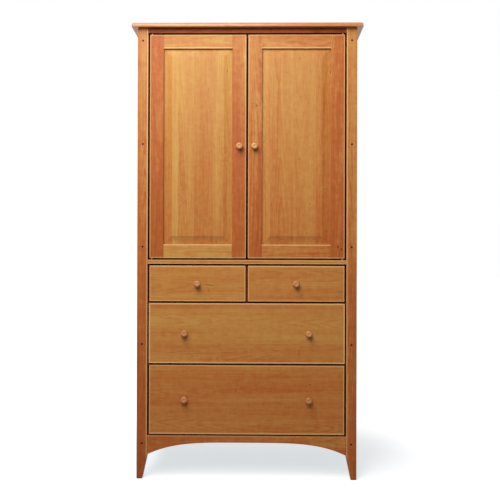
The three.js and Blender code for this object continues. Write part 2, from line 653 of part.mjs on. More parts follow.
/** A drawer as wide as the case, with five boards and two knobs. */
function addWideDrawer(name, front, shelfHeights) {
  const heights = drawerHeights(front, shelfHeights);
  const sideX = [DRAWER_EDGE - DRAWER_SIDE_THICKNESS, DRAWER_EDGE];
  const bottom = drawerBottom([-sideX[0], sideX[0]], heights);
  const housing = grown([-sideX[0], sideX[0]], DRAWER_HOUSING);
  const backCut = block(grown(housing), grown(DRAWER_BACK_Y), [heights.back[0] - JOINT, heights.side[1] + OVERLAP]);
  const board = block(sideX, [FACE_BACK_Y + JOINT, DRAWER_END_Y], heights.side);
  const side = cut(joined(board, dovetails(sideX, heights.side)), bottom.groove, backCut);
  const sockets = dovetails([sideX[0] - JOINT, sideX[1] + OVERLAP], heights.side, JOINT);
  const knobZ = (front[0] + front[1]) / 2;
  const hole = knobHole(WIDE_KNOB_OFFSET, knobZ);

  const frontBoard = block([-DRAWER_EDGE, DRAWER_EDGE], [FACE_Y, FACE_BACK_Y], front);
  add(`${name}_front`, cut(frontBoard, sockets, mirrored(sockets), bottom.groove, hole, mirrored(hole)));
  addPair((hand) => `${name}_${hand}_side`, side, maple);
  add(`${name}_back`, block(housing, DRAWER_BACK_Y, heights.back), maple());
  add(`${name}_bottom`, bottom.board, maple());
  addPair((hand) => `${name}_${hand}_knob`, knob(WIDE_KNOB_OFFSET, knobZ));
}

/** The two short drawers beside the partition, with sides and back joined into one box. */
function addShortDrawers() {
  const heights = drawerHeights(TOP_FRONT, UPPER_SHELF);
  const outerX = [DRAWER_EDGE - DRAWER_SIDE_THICKNESS, DRAWER_EDGE];
  const innerX = reach(PARTITION_THICKNESS / 2 + SHORT_DRAWER_CLEARANCE, DRAWER_SIDE_THICKNESS);
  const frontX = [DRAWER_CENTRE_GAP / 2, DRAWER_EDGE];
  const bottom = drawerBottom([innerX[1], outerX[0]], heights);
  const length = [FACE_BACK_Y + JOINT, DRAWER_END_Y];
  const box = cut(
    joined(
      block(outerX, length, heights.side),
      block(innerX, length, heights.side),
      block(grown([innerX[1], outerX[0]], OVERLAP), DRAWER_BACK_Y, heights.back),
      dovetails(outerX, heights.side),
      slidingTail(innerX, heights.side)
    ),
    bottom.groove
  );
  const knobAt = [(frontX[0] + frontX[1]) / 2, (TOP_FRONT[0] + TOP_FRONT[1]) / 2];
  const front = cut(
    block(frontX, [FACE_Y, FACE_BACK_Y], TOP_FRONT),
    dovetails([outerX[0] - JOINT, outerX[1] + OVERLAP], heights.side, JOINT),
    slidingTail(innerX, heights.side, JOINT),
    bottom.groove,
    knobHole(...knobAt)
  );
  addPair((side) => `top_${side}_drawer_front`, front);
  addPair((side) => `top_${side}_drawer_box`, box, maple);
  addPair((side) => `top_${side}_drawer_bottom`, bottom.board, maple);
  addPair((side) => `top_${side}_drawer_knob`, knob(...knobAt));
}

// ---------------------------------------------------------------------------------------------
// The armoire
// ---------------------------------------------------------------------------------------------

addTop();
addPosts();
addRails();
addSidePanels();
addBackPanel();
addShelves();
addWardrobeFittings();
addDoors();
addHinges('top', DOOR[1], 1);
addHinges('bottom', DOOR[0], -1);
addShortDrawers();
addWideDrawer('middle_drawer', MIDDLE_FRONT, LOWER_SHELF);
addWideDrawer('bottom_drawer', BOTTOM_FRONT, BOTTOM_SHELF);

export default armoire;
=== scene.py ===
"""A free-standing cherry armoire: two raised-panel doors over two short and two wide drawers.

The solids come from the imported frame. This script eases their free edges, moulds the top, turns the knobs,
sets out the pegs and screws, and gives every board its own piece of timber.
"""

import json
import math
from functools import partial

import bmesh
import bpy
from mathutils import Euler, Matrix, Vector
from mathutils.bvhtree import BVHTree

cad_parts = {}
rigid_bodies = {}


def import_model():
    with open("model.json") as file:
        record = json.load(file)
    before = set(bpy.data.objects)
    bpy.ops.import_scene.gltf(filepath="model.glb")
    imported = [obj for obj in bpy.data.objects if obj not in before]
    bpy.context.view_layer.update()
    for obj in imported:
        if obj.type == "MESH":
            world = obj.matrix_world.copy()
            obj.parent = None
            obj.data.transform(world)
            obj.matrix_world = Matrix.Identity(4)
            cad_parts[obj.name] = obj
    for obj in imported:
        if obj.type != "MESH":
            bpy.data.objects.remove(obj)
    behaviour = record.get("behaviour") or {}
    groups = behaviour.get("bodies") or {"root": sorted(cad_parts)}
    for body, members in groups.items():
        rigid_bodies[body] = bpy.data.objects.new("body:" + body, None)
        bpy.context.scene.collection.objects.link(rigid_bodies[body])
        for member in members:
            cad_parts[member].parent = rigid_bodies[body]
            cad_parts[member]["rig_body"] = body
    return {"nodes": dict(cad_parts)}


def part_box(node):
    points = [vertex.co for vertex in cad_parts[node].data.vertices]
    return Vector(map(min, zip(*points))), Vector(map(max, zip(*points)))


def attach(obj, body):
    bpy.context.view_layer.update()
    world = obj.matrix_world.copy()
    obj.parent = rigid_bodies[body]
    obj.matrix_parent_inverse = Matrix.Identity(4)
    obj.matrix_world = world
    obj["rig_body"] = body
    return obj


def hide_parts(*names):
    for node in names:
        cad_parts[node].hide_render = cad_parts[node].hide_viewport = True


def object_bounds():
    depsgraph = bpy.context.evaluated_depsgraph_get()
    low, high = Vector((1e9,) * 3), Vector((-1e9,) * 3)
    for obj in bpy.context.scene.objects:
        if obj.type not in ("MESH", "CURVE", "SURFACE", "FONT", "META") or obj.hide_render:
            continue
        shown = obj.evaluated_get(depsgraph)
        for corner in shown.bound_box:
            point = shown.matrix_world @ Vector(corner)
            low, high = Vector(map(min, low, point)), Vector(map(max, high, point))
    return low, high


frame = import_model()
CAD_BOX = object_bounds()

bl_info = {
    "name": "Cherry armoire",
    "version": (1, 0, 0),
    "blender": (4, 5, 0),
    "location": "View3D > Sidebar > Armoire",
    "description": "Finishes a cherry armoire round its solids",
    "category": "Add Mesh",
}

MM = 0.001
AXES = {"X": Vector((1, 0, 0)), "Y": Vector((0, 1, 0)), "Z": Vector((0, 0, 1))}


def linear(colour):
    """An sRGB hex colour as linear red, green, blue and alpha."""
    parts = [int(colour[i : i + 2], 16) / 255 for i in (0, 2, 4)]
    return (*(p / 12.92 if p <= 0.04045 else ((p + 0.055) / 1.055) ** 2.4 for p in parts), 1.0)


# ---- Sizes and colours that a user would change ----


def number(name, description, default, **settings):
    """A plain number."""
    return bpy.props.FloatProperty(name=name, description=description, default=default, **settings)


def length(name, description, millimetres):
    """A length, with its default given in millimetres."""
    return number(name, description, millimetres * MM, min=0.0, precision=4, unit="LENGTH")


def angle(name, description, degrees):
    """An angle, with its default given in degrees."""
    return number(name, description, math.radians(degrees), subtype="ANGLE")


def colour(name, description, value):
    """A colour, with its default given as an sRGB hex colour."""
    return bpy.props.FloatVectorProperty(
        name=name, description=description, default=linear(value), size=4, min=0.0, max=1.0, subtype="COLOR"
    )


class ArmoireEdges(bpy.types.PropertyGroup):
    """How far the edges of the boards are rounded."""

    case: length("Case arris", "Rounding of the posts and rails", 1.6)
    front: length("Front arris", "Rounding round the doors and drawer fronts", 3.2)
    foot: length("Foot arris", "Rounding of the posts where they stand on the floor", 3)
    inner: length("Frame arris", "Rounding of the door frames next to their panels", 1.8)
    panel: length("Panel arris", "Rounding of the raised field of the door panels", 1.6)
    # A painted highlight: the paler band along the edges of the fronts, posts and rails.
    rubbed: length("Rubbed edge", "How far the rubbed, paler wood reaches from an edge", 9)
    tongue: length(
        "Panel tongue", "How far the bevel of a door panel falls, from its field to its tongue", 9.3
    )
    inside: length("Inside arris", "Rounding of the drawer boxes and shelves", 0.8)
    top_width: length("Top rounding width", "Rounding of the top, across its face", 17)
    top_height: length("Top rounding height", "Rounding of the top, down its edge", 12)


class ArmoireTimber(bpy.types.PropertyGroup):
    """Colours and surface of the two timbers."""

    cherry_pale: colour("Cherry, pale", "Palest early wood", "D4A858")
    cherry_middle: colour("Cherry, middle", "Body colour of the heartwood", "B9642E")
    cherry_dark: colour("Cherry, dark", "Late wood and streaks", "85401D")
    # This colour is also the painted shade on the sides of the gaps.
    cherry_gum: colour("Cherry gum", "Gum flecks, pin knots and what gathers in the gaps", "340C05")
    knob_pale: colour("Knob, pale", "Palest wood of the turned knobs", "EBB06A")
    knob_middle: colour(
        "Knob, middle", "Body colour of the turned knobs, a younger and pinker cherry", "C4804A"
    )
    knob_dark: colour("Knob, dark", "Late wood of the turned knobs", "904A24")
    # Painted highlight: the paler colour along the edges of the fronts, posts and rails.
    cherry_rubbed: colour("Cherry, rubbed", "Arrises that sanding between coats left paler", "F4C486")
    peg_pale: colour("Peg, pale", "Palest end grain of the pegs", "62301A")
    peg_middle: colour("Peg, middle", "End grain of the pegs, dark with finish", "451A0C")
    peg_dark: colour("Peg, dark", "Late wood in the end of a peg", "280C06")
    maple_pale: colour("Maple, pale", "Palest sapwood", "E8D3AE")
    maple_middle: colour("Maple, middle", "Body colour of the sapwood", "DCC196")
    maple_dark: colour("Maple, dark", "Late wood and streaks", "C29F6E")
    # Painted light: the cherry is painted paler towards the top of the case and darker at its foot.
    patina: number("Patina", "How much paler the cherry is at the top of the case than at its foot", 0.34)
    roughness: number("Sheen", "Roughness of the satin lacquer", 0.34, min=0.0, max=1.0)


class ArmoireFittings(bpy.types.PropertyGroup):
    """Sizes of the pegs, screws and rod rings."""

    peg_diameter: length("Peg diameter", "Pegs through the joints of the posts", 9)
    peg_dome: length("Peg dome", "How far a peg stands proud", 0.5)
    hinge_screw: length("Hinge screw head", "Diameter of the screw heads in the hinge leaves", 5.6)
    back_screw: length("Back screw head", "Diameter of the screw heads round the back", 7)
    back_pitch: length("Back screw pitch", "Distance between the screws round the back, about", 190)
    ring_width: length("Rod ring width", "Width of the turned ring round each end of the rod", 8)
    ring_thickness: length("Rod ring thickness", "How far that ring stands off the side", 6)


class ArmoireStage(bpy.types.PropertyGroup):
    """Camera, lamps and floor."""

    camera_side: length("Camera side", "Camera to the right of the middle", 77)
    camera_distance: length("Camera distance", "Camera in front of the middle", 3750)
    camera_height: length("Camera height", "Camera above the floor", 955)
    camera_turn: angle("Camera turn", "Turned to the left", 1.04)
    camera_tilt: angle("Camera tilt", "Tilted up", 0.24)
    camera_roll: angle("Camera roll", "Rolled clockwise", -0.17)
    lens: number("Lens", "Focal length on a 36 mm sensor", 59.5, unit="CAMERA")
    key_power: number("Key lamp", "Power of the key lamp", 50.0)
    fill_power: number("Fill lamp", "Power of the fill lamp", 50.0)
    rear_power: number("Rear lamps", "Power of each of the two lamps behind the cabinet", 75.0)
    sky: number("Sky", "Strength of the even white light", 0.12)
    floor: colour("Floor", "Seamless white paper, where the lamps reach it", "D2D2D2")
    shade: colour("Floor shade", "The paper where the cabinet shades it from every lamp", "D2D8DB")
    bounce: colour("Floor bounce", "What the floor throws back onto the cabinet", "92908D")


PROPERTY_GROUPS = {
    "armoire_edges": ArmoireEdges,
    "armoire_timber": ArmoireTimber,
    "armoire_fittings": ArmoireFittings,
    "armoire_stage": ArmoireStage,
}


# ---- Nodes ----


def add_node(tree, kind, sockets=(), operation=None, **settings):
    """Adds a node. Each socket gets a value, or a link from a socket or from a node's first output in use."""
    node = tree.nodes.new(kind if "Node" in kind else "ShaderNode" + kind)
    if operation:
        node.operation = operation
    for name, value in settings.items():
        setattr(node, name, value)
    for name, value in sockets.items() if isinstance(sockets, dict) else enumerate(sockets):
        if isinstance(value, bpy.types.Node):
            value = next(output for output in value.outputs if output.enabled)
        if isinstance(value, bpy.types.NodeSocket):
            tree.links.new(value, node.inputs[name])
        else:
            node.inputs[name].default_value = value
    return node


def new_tree(name, kind, inputs, outputs):
    """A node group with sockets of its own, the function that adds a node to it, and what it is given.

    A socket is written as its kind, or as a number: then it holds a number, with that one as its default.
    """
    tree = bpy.data.node_groups.new(name, kind)
    for in_out, rows in (("INPUT", inputs), ("OUTPUT", outputs)):
        for label, value in rows.items():
            socket_kind = value if isinstance(value, str) else "Float"
            socket = tree.interface.new_socket(label, in_out=in_out, socket_type="NodeSocket" + socket_kind)
            if value != socket_kind:
                socket.default_value = value
    add = partial(add_node, tree)
    return tree, add, add("NodeGroupInput").outputs


SMOOTH = {"interpolation_type": "SMOOTHSTEP"}


def new_look(looks, name):
    """A material or a world without any nodes, and the function that adds a node to it."""
    made = looks.new(name)
    made.use_nodes = True
    made.node_tree.nodes.clear()
    return made, partial(add_node, made.node_tree)


# ---- Timber ----

RING_WIDTH = 3.1  # mm
# Real sizes of the figure, in millimetres: across the board, through it and along the grain.
WANDER = (340, 340, 900)
WAVER = (30, 30, 220)
PORE = (0.28, 0.28, 3.2)
# Gum flecks and pin knots: the area that holds one of them, across and along the grain, and the largest one's
# half width, in millimetres.
FLECK = (46, 130, 1.9)
KNOT = (190, 190, 3.0)
KNOT_SWELL = (30.0, 7.0)  # how far round a knot the grain swells, and by how much at most
# Where the pith lies from the middle of a stave, and how far it drifts and the rings waver along the board.
PITH_ASIDE = (-34.0, 34.0)
PITH_BEHIND = (24.0, 120.0)
DRIFT_ASIDE = (-18.0, 18.0)
DRIFT_BEHIND = (-15.0, 15.0)
WAVER_BY = (-2.2, 2.2)
YEARS = 0.21  # how fast good and bad years follow each other, per ring
YEAR_STRENGTH = (0.3, 0.7, 0.25, 1.0)  # the noise of bad and of good years, and how strong their rings are
# From where to where in a ring it darkens, and then ends.
RING_DARKENS = (0.35, 0.9)
RING_ENDS = (0.92, 1.0)
NOISE_SPREAD = (0.2, 0.8)  # the values that most of the noise lies between
NOISE_ROUGHNESS = 0.55
NOISE_MIDDLE = 0.5
PLAIN_CELLS = 0.45  # how many of the cells hold no mark
MARK_SOFTNESS = 0.4  # how soft the edge of a mark is, as a part of the largest size
TONE_SPAN = 0.5  # from the body colour to the palest or darkest
STAVE_SHIFT = (41.0, 37.0, 43.0)  # far enough for the noise of two staves to be unlike
# How much each kind of figure lightens the wood. For late wood also how much of it there is on average, and
# for noise its real sizes and its detail.
LATE_WOOD_WEIGHT, LATE_WOOD_SHARE = -0.22, 0.25
YEARS_WEIGHT = 0.42
LUCK_WEIGHT = 0.3
SHADES = {
    "streak": (0.34, (11, 11, 300), 2.0),
    "band": (0.46, (42, 42, 700), 1.0),
    "fibre": (0.22, (0.9, 0.9, 48), 2.0),
    "ripple": (0.26, (34, 34, 17), 1.0),
    "mottle": (0.34, (13, 13, 34), 1.0),
}
FLECK_STRENGTH = 0.7
PORES_FROM = (0.66, 0.8, 0.0, 0.3)  # the noise where pores start and are full, and how dark they are there
END_GRAIN_STRENGTH = 0.5


def figure_tree():
    """The figure of sawn timber, in board space: x across the board, y through it, z along the grain, in mm.

    Growth rings run round a pith that wanders behind each stave, so flat faces show arches and edges lines.
    """
    tree, add, given = new_tree(
        "Sawn timber figure",
        "ShaderNodeTree",
        {
            "Board": "Vector",
            "Stave width": 400.0,
            "Stave variety": 0.0,
            "Tone": 0.0,
            "Contrast": 1.0,
            "Gum": 1.0,
            "End grain": 0.0,
            "Pale": "Color",
            "Middle": "Color",
            "Dark": "Color",
            "Gum colour": "Color",
        },
        {"Colour": "Color", "Fineness": "Float", "Height": "Float"},
    )
    xyz = add("SeparateXYZ", (given["Board"],)).outputs

    # Which stave of a glued-up board this is, and how far across it.
    stave_at = add("Math", (xyz[0], given["Stave width"]), "DIVIDE")
    staves = {"W": stave_at, "Scale": 1.0, "Randomness": given["Stave variety"]}
    stave = add("TexVoronoi", staves, voronoi_dimensions="1D").outputs
    from_middle = add("Math", (stave_at, stave["W"]), "SUBTRACT")
    across = add("Math", (from_middle, given["Stave width"]), "MULTIPLY")
    luck = add("SeparateColor", (stave["Color"],)).outputs
    shift = add("VectorMath", (stave["Color"], STAVE_SHIFT), "MULTIPLY")
    in_stave = add("CombineXYZ", (across, xyz[1], xyz[2]))

    def pattern(sizes, detail=1.0):
        """Noise as coarse as the sizes, different in each stave."""
        scaled = add("VectorMath", (in_stave, [1 / s for s in sizes]), "MULTIPLY")
        moved = add("VectorMath", (scaled, shift))
        grain = {"Vector": moved, "Scale": 1.0, "Detail": detail, "Roughness": NOISE_ROUGHNESS}
        return add("TexNoise", grain).outputs

    def marks(cell_across, cell_along, largest):
        """At most one mark in each cell, up to the largest size: the mark, its distance and its vigour."""
        place = add(
            "CombineXYZ",
            (
                add("Math", (xyz[0], 1 / cell_across), "MULTIPLY"),
                add("Math", (xyz[2], 1 / cell_along), "MULTIPLY"),
            ),
        )
        cells = add("TexVoronoi", {"Vector": place, "Scale": 1.0}, voronoi_dimensions="2D").outputs
        chance = add("SeparateColor", (cells["Color"],)).outputs[0]
        vigour = add("MapRange", (chance, PLAIN_CELLS, 1.0))
        away = add("Math", (cells["Distance"], float(cell_across)), "MULTIPLY")
        size = add("Math", (vigour, largest), "MULTIPLY")
        inside = add("Math", (size, away), "SUBTRACT")
        mask = add("MapRange", (inside, 0.0, largest * MARK_SOFTNESS), **SMOOTH)
        return mask, away, vigour

    # Pin knots run straight through the board, and the grain flows round them.
    knot_mask, knot_away, knot_vigour = marks(*KNOT)
    reach, most = KNOT_SWELL
    knot_push = add("MapRange", (knot_away, 0.0, reach, most, 0.0), interpolation_type="SMOOTHERSTEP")
    swell = add("Math", (knot_push, knot_vigour), "MULTIPLY")

    # Distance from the wandering pith.
    wander = add("SeparateColor", (pattern(WANDER, 0.0)["Color"],)).outputs
    pith_x = add("MapRange", (luck[0], 0.0, 1.0, *PITH_ASIDE))
    pith_y = add("MapRange", (luck[1], 0.0, 1.0, *PITH_BEHIND))
    drift_x = add("MapRange", (wander[0], *NOISE_SPREAD, *DRIFT_ASIDE))
    drift_y = add("MapRange", (wander[1], *NOISE_SPREAD, *DRIFT_BEHIND))
    pith = add("CombineXYZ", (pith_x, pith_y))
    drift = add("CombineXYZ", (drift_x, drift_y))
    here = add("CombineXYZ", (across, xyz[1]))
    from_pith = add("VectorMath", (here, pith))
    from_drift = add("VectorMath", (from_pith, drift))
    radius = add("VectorMath", (from_drift,), "LENGTH")
    waver = add("MapRange", (pattern(WAVER)["Fac"], 0.0, 1.0, *WAVER_BY))
    wavered = add("Math", (radius, waver))
    swollen = add("Math", (wavered, swell))
    rings = add("Math", (swollen, RING_WIDTH), "DIVIDE")

    # Each ring darkens slowly and ends sharply, and good and bad years come in groups.
    phase = add("Math", (rings,), "FRACT")
    darken = add("MapRange", (phase, *RING_DARKENS), **SMOOTH)
    end = add("MapRange", (phase, *RING_ENDS, 1.0, 0.0), **SMOOTH)
    late_wood = add("Math", (darken, end), "MULTIPLY")
    years = add("TexNoise", {"W": rings, "Scale": YEARS, "Detail": 1.0}, noise_dimensions="1D")
    vigour = add("MapRange", (years, *YEAR_STRENGTH))
    ring = add("Math", (late_wood, vigour), "MULTIPLY")

    # Everything that lightens or darkens the wood.
    noises = {name: pattern(sizes, detail)["Fac"] for name, (_, sizes, detail) in SHADES.items()}
    shades = [(ring, LATE_WOOD_WEIGHT, LATE_WOOD_SHARE), (years, YEARS_WEIGHT, NOISE_MIDDLE)]
    shades += [(noises[name], weight, NOISE_MIDDLE) for name, (weight, _, _) in SHADES.items()]
    total = 0.0
    for value, weight, middle in [*shades, (luck[2], LUCK_WEIGHT, NOISE_MIDDLE)]:
        centred = add("Math", (value, middle), "SUBTRACT")
        total = add("Math", (centred, weight, total), "MULTIPLY_ADD")
    lively = add("Math", (total, given["Contrast"]), "MULTIPLY")
    toned = add("Math", (lively, given["Tone"]))
    to_pale = add("MapRange", (toned, 0.0, TONE_SPAN))
    to_dark = add("MapRange", (toned, 0.0, -TONE_SPAN))
    paler = add("Mix", {"Factor": to_pale, 6: given["Middle"], 7: given["Pale"]}, data_type="RGBA")
    wood = add("Mix", {"Factor": to_dark, 6: paler, 7: given["Dark"]}, data_type="RGBA")

    # Gum flecks lie along the grain.
    fleck_mask = marks(*FLECK)[0]
    flecks = add("Math", (fleck_mask, FLECK_STRENGTH), "MULTIPLY")
    dark_spots = add("Math", (flecks, knot_mask), "MAXIMUM")
    darkened = add("Math", (dark_spots, given["Gum"]), "MULTIPLY")
    pore = pattern(PORE, 0.0)["Fac"]
    pore_mask = add("MapRange", (pore, *PORES_FROM))
    spots = add("Math", (darkened, pore_mask), "MAXIMUM")
    marked = add("Mix", {"Factor": spots, 6: wood, 7: given["Gum colour"]}, data_type="RGBA")

    # End grain drinks more finish and goes darker. It starts on faces turned only a little towards the grain,
    # so the bevels of the door panels darken too, as painted shade.
    end_factor = add("Math", (given["End grain"], END_GRAIN_STRENGTH), "MULTIPLY")
    final = add("Mix", {"Factor": end_factor, 6: marked, 7: given["Dark"]}, data_type="RGBA")
    relief = add("Math", (noises["fibre"], pore_mask), "SUBTRACT")
    add("NodeGroupOutput", {"Colour": final, "Fineness": noises["fibre"], "Height": relief})
    return tree


# What each timber is like: how strong its figure is, whether it has gum flecks, and whether it is painted
# paler towards the top of the case, as painted light from lamps above.
SPECIES = {
    "cherry": {"title": "Satin lacquered cherry", "contrast": 0.5, "gum": 1.0, "aged": True},
    "knob": {"title": "Turned cherry", "contrast": 0.4, "gum": 0.0, "aged": True},
    "peg": {"title": "Cherry dowel, end grain", "contrast": 0.6, "gum": 0.0, "aged": False},
    "maple": {"title": "Planed and oiled maple", "contrast": 0.75, "gum": 0.0, "aged": False},
}
BUMP_DEPTH = 0.05 * MM  # how deep the fibres and pores are
SINGLE_BOARD = 400  # stave width of a piece that is one board, mm
STAVE_VARIETY = 0.6  # how unlike in width the staves of a board are
# Boards with gum pockets that catch the eye: x, z, half width and half height (m), and how dark each is.
GUM_POCKETS = {
    "top_left_drawer_front_eased": (
        (-0.168, 0.8225, 0.028, 0.0022, 0.5),
        (-0.150, 0.8185, 0.016, 0.0018, 0.45),
        (-0.161, 0.797, 0.004, 0.009, 0.3),
    ),
    "middle_drawer_front_eased": ((0.221, 0.536, 0.004, 0.018, 0.35), (0.232, 0.560, 0.010, 0.003, 0.2)),
    "right_door_hinge_stile_eased": ((0.385, 0.983, 0.0045, 0.010, 0.8), (0.400, 0.974, 0.004, 0.007, 0.85)),
}
OTHER_BOARD = (2200.0, 0.0, 900.0)  # how far off in the log a board past a seam was cut, mm
PIECE_PITCH = 611  # along the grain, between the logs of two pieces, mm
SHEEN_RANGE = 0.07  # how much the fibres change the roughness, either way
BUMP_STRENGTH = 0.35
LACQUER_IOR = 1.5
SATIN_GLOSS = 0.12
# Set low enough that the bevels of the door panels darken as well: partly end grain, partly painted shade.
END_GRAIN = (0.1, 0.6)  # how far a face turns towards the grain before it starts to darken, and is darkest
EDGE_HIGHLIGHT_DEPTH = 0.5 * MM  # how far round a front arris the painted highlight goes
# Painted shade on the sides of the gaps, by depth behind the front: where it starts, is full, starts to fade
# and is gone.
GAP_SHADE = (0.1 * MM, 0.5 * MM, 3 * MM, 12 * MM)
GAP_SHADE_STRENGTH = 0.95
GUM_SOLID = 0.3  # how far out from its middle a gum pocket is solid, as a part of its size


def near_outline(add, place, box, reach):
    """How near a place is to the outline of a box, seen from the front: 1 on it, and 0 at the reach."""
    middle, half = (box[0] + box[1]) / 2, (box[1] - box[0]) / 2
    away = add("VectorMath", (place, middle), "SUBTRACT")
    size = add("VectorMath", (away,), "ABSOLUTE")
    over = add("VectorMath", (size, half), "SUBTRACT")
    over_xyz = add("SeparateXYZ", (over,)).outputs
    worst = add("Math", (over_xyz[0], over_xyz[2]), "MAXIMUM")
    distance = add("Math", (worst,), "ABSOLUTE")
    return add("MapRange", (distance, 0.0, reach, 1.0, 0.0), **SMOOTH)


def gum_pockets(add, place, pockets):
    """How much dried gum shows, 0 to 1. A pocket is x, z, half width and half height (m), and strength."""
    most = 0.0
    for x, z, half_width, half_height, strength in pockets:
        away = add("VectorMath", (place, (x, 0.0, z)), "SUBTRACT")
        scale = (1 / half_width, 0.0, 1 / half_height)
        scaled = add("VectorMath", (away, scale), "MULTIPLY")
        across = add("VectorMath", (scaled,), "LENGTH")
        shown = add("MapRange", (across, GUM_SOLID, 1.0, strength, 0.0))
        most = add("Math", (shown, most), "MAXIMUM")
    return most


def edge_light_and_shade(add, piece, place, outline, rubbed, opening=None):
    """How much painted highlight and how much painted shade show along the outline of a piece's front.

    The highlight is painted along the outline, and along the opening where there is one, and the shade on
    the sides of the gaps just behind the front. The rubbed argument is how pale the highlight is.
    """
    reach = bpy.context.scene.armoire_edges.rubbed
    front = min(v.co.y for v in piece.data.vertices)
    depth = add("SeparateXYZ", (place,)).outputs[1]
    near = edge = near_outline(add, place, outline, reach)
    if opening:
        edge = add("Math", (near, near_outline(add, place, opening, reach)), "MAXIMUM")
    wear = add("MapRange", (depth, front, front + EDGE_HIGHLIGHT_DEPTH, rubbed, 0.0))
    # Painted shade on the sides of the gaps, just behind the front.
    starts, full, fades, gone = (front + d for d in GAP_SHADE)
    deepens = add("MapRange", (depth, starts, full, 0.0, GAP_SHADE_STRENGTH))
    stays = add("MapRange", (depth, fades, gone, 1.0, 0.0))
    band = add("Math", (deepens, stays), "MULTIPLY")
    return add("Math", (wear, edge), "MULTIPLY"), add("Math", (band, near), "MULTIPLY")


def timber(
    piece, species, grain, width, staves=0, tone=0.0, gloss=SATIN_GLOSS, marked=1.0, seam=None, **wear
):
    """Wood with its grain along one axis of the piece and its staves side by side along another.

    Cherry is planed, sanded and sprayed with satin lacquer: a soft sheen, fine fibres, arched figure and
    gum flecks. Maple is plainer and paler, with a thin oil finish. Each piece is cut from its own place in
    the log. The cherry is painted paler towards the top of the case and darker at its foot, as painted light.

    Staves is their width in millimetres, or 0 for one board. Tone is how much paler the piece is, gloss how
    it shines, marked how strong its figure is, and seam where a board of another tone starts. Painted edges
    is what the function for the painted highlight along the edges and the painted shade in the gaps takes.
    """
    kind = SPECIES[species]
    colours = bpy.context.scene.armoire_timber
    made, add = new_look(bpy.data.materials, f"{kind['title']}, {piece.name}")
    figure = bpy.data.node_groups.get("Sawn timber figure") or figure_tree()

    across, along = AXES[width], AXES[grain]
    turn = Matrix((across, along.cross(across), along))
    stave = staves or SINGLE_BOARD
    timber.number = getattr(timber, "number", 0) + 1
    middle = turn @ (middle_of(piece) / MM)
    in_log = Vector((timber.number * stave, 0.0, timber.number * PIECE_PITCH)) - middle

    coordinates = add("TexCoord").outputs
    place = coordinates["Object"]
    scale = [1 / MM] * 3
    board = add("Mapping", {"Vector": place, "Location": in_log, "Rotation": turn.to_euler(), "Scale": scale})
    xyz = add("SeparateXYZ", (place,)).outputs
    # Painted light: the tone runs from darker at the foot of the case to paler at its top.
    half_painted_top_light = colours.patina / 2 if kind["aged"] else 0.0
    aged = add("MapRange", (xyz[2], 0.0, CAD_BOX[1].z, tone - half_painted_top_light, tone + half_painted_top_light))
    if seam:
        seam_at, other_side, other_tone = seam
        other = add("Math", (xyz[0], seam_at), other_side)
        jump = add("VectorMath", {0: OTHER_BOARD, "Scale": other}, "SCALE")
        board = add("VectorMath", (board, jump))
        aged = add("Math", (other, other_tone, aged), "MULTIPLY_ADD")
    facing = add("VectorMath", (coordinates["Normal"], along), "DOT_PRODUCT")
    square_on = add("Math", (facing,), "ABSOLUTE")
    wood = add(
        "Group",
        {
            "Board": board,
            "Stave width": float(stave),
            "Stave variety": STAVE_VARIETY if staves else 0.0,
            "Tone": aged,
            "Contrast": kind["contrast"] * marked,
            "Gum": kind["gum"],
            "End grain": add("MapRange", (square_on, *END_GRAIN)),
            "Pale": getattr(colours, species + "_pale"),
            "Middle": getattr(colours, species + "_middle"),
            "Dark": getattr(colours, species + "_dark"),
            "Gum colour": colours.cherry_gum,
        },
        node_tree=figure,
    ).outputs
    tint, darkened = wood["Colour"], None
    if piece.name in GUM_POCKETS:
        darkened = gum_pockets(add, place, GUM_POCKETS[piece.name])
    # A painted highlight along the edges, then painted shade on the sides of the gaps.
    if wear:
        paler, painted_gap_shade = edge_light_and_shade(add, piece, place, **wear)
        tint = add("Mix", {"Factor": paler, 6: tint, 7: colours.cherry_rubbed}, data_type="RGBA")
        # Gum pockets, and painted shade on the sides of the gaps.
        darkened = add("Math", (painted_gap_shade, darkened or 0.0), "MAXIMUM")
    if darkened:
        tint = add("Mix", {"Factor": darkened, 6: tint, 7: colours.cherry_gum}, data_type="RGBA")
        gloss = add("MapRange", (darkened, 0.0, 1.0, gloss, 0.0))
    smoothest, roughest = colours.roughness - SHEEN_RANGE, colours.roughness + SHEEN_RANGE
    sheen = add("MapRange", (wood["Fineness"], 0.0, 1.0, smoothest, roughest))
    bump = add("Bump", {"Strength": BUMP_STRENGTH, "Distance": BUMP_DEPTH, "Height": wood["Height"]})
    lacquer = {"Roughness": sheen, "Normal": bump, "IOR": LACQUER_IOR, "Specular IOR Level": gloss}
    add("OutputMaterial", {"Surface": add("BsdfPrincipled", {"Base Color": tint, **lacquer})})
    return made


BRUSH_LINES = (120.0, 4200.0, 4200.0)  # lines per metre: along the strip, and across it both ways
TARNISH = 60.0  # patches of tarnish per metre
BRASS_ROUGHNESS = (0.22, 0.42)


def brushed_brass():
    """Rolled brass strip, brushed along its length: warm, with fine lines that spread the gloss."""
    if "Brushed brass" in bpy.data.materials:
        return bpy.data.materials["Brushed brass"]
    made, add = new_look(bpy.data.materials, "Brushed brass")
    place = add("TexCoord").outputs["Object"]
    lines = add("Mapping", {"Vector": place, "Scale": BRUSH_LINES})
    brush = add("TexNoise", {"Vector": lines, "Scale": 1.0, "Detail": 2.0})
    tarnish = add("TexNoise", {"Vector": place, "Scale": TARNISH, "Detail": 2.0})
    tint = add("Mix", {"Factor": tarnish, 6: linear("C9A458"), 7: linear("A98443")}, data_type="RGBA")
    gloss = add("MapRange", (brush, 0.0, 1.0, *BRASS_ROUGHNESS))
    surface = add("BsdfPrincipled", {"Base Color": tint, "Roughness": gloss, "Metallic": 1.0})
    add("OutputMaterial", {"Surface": surface})
    return made


# ---- Mesh tools ----


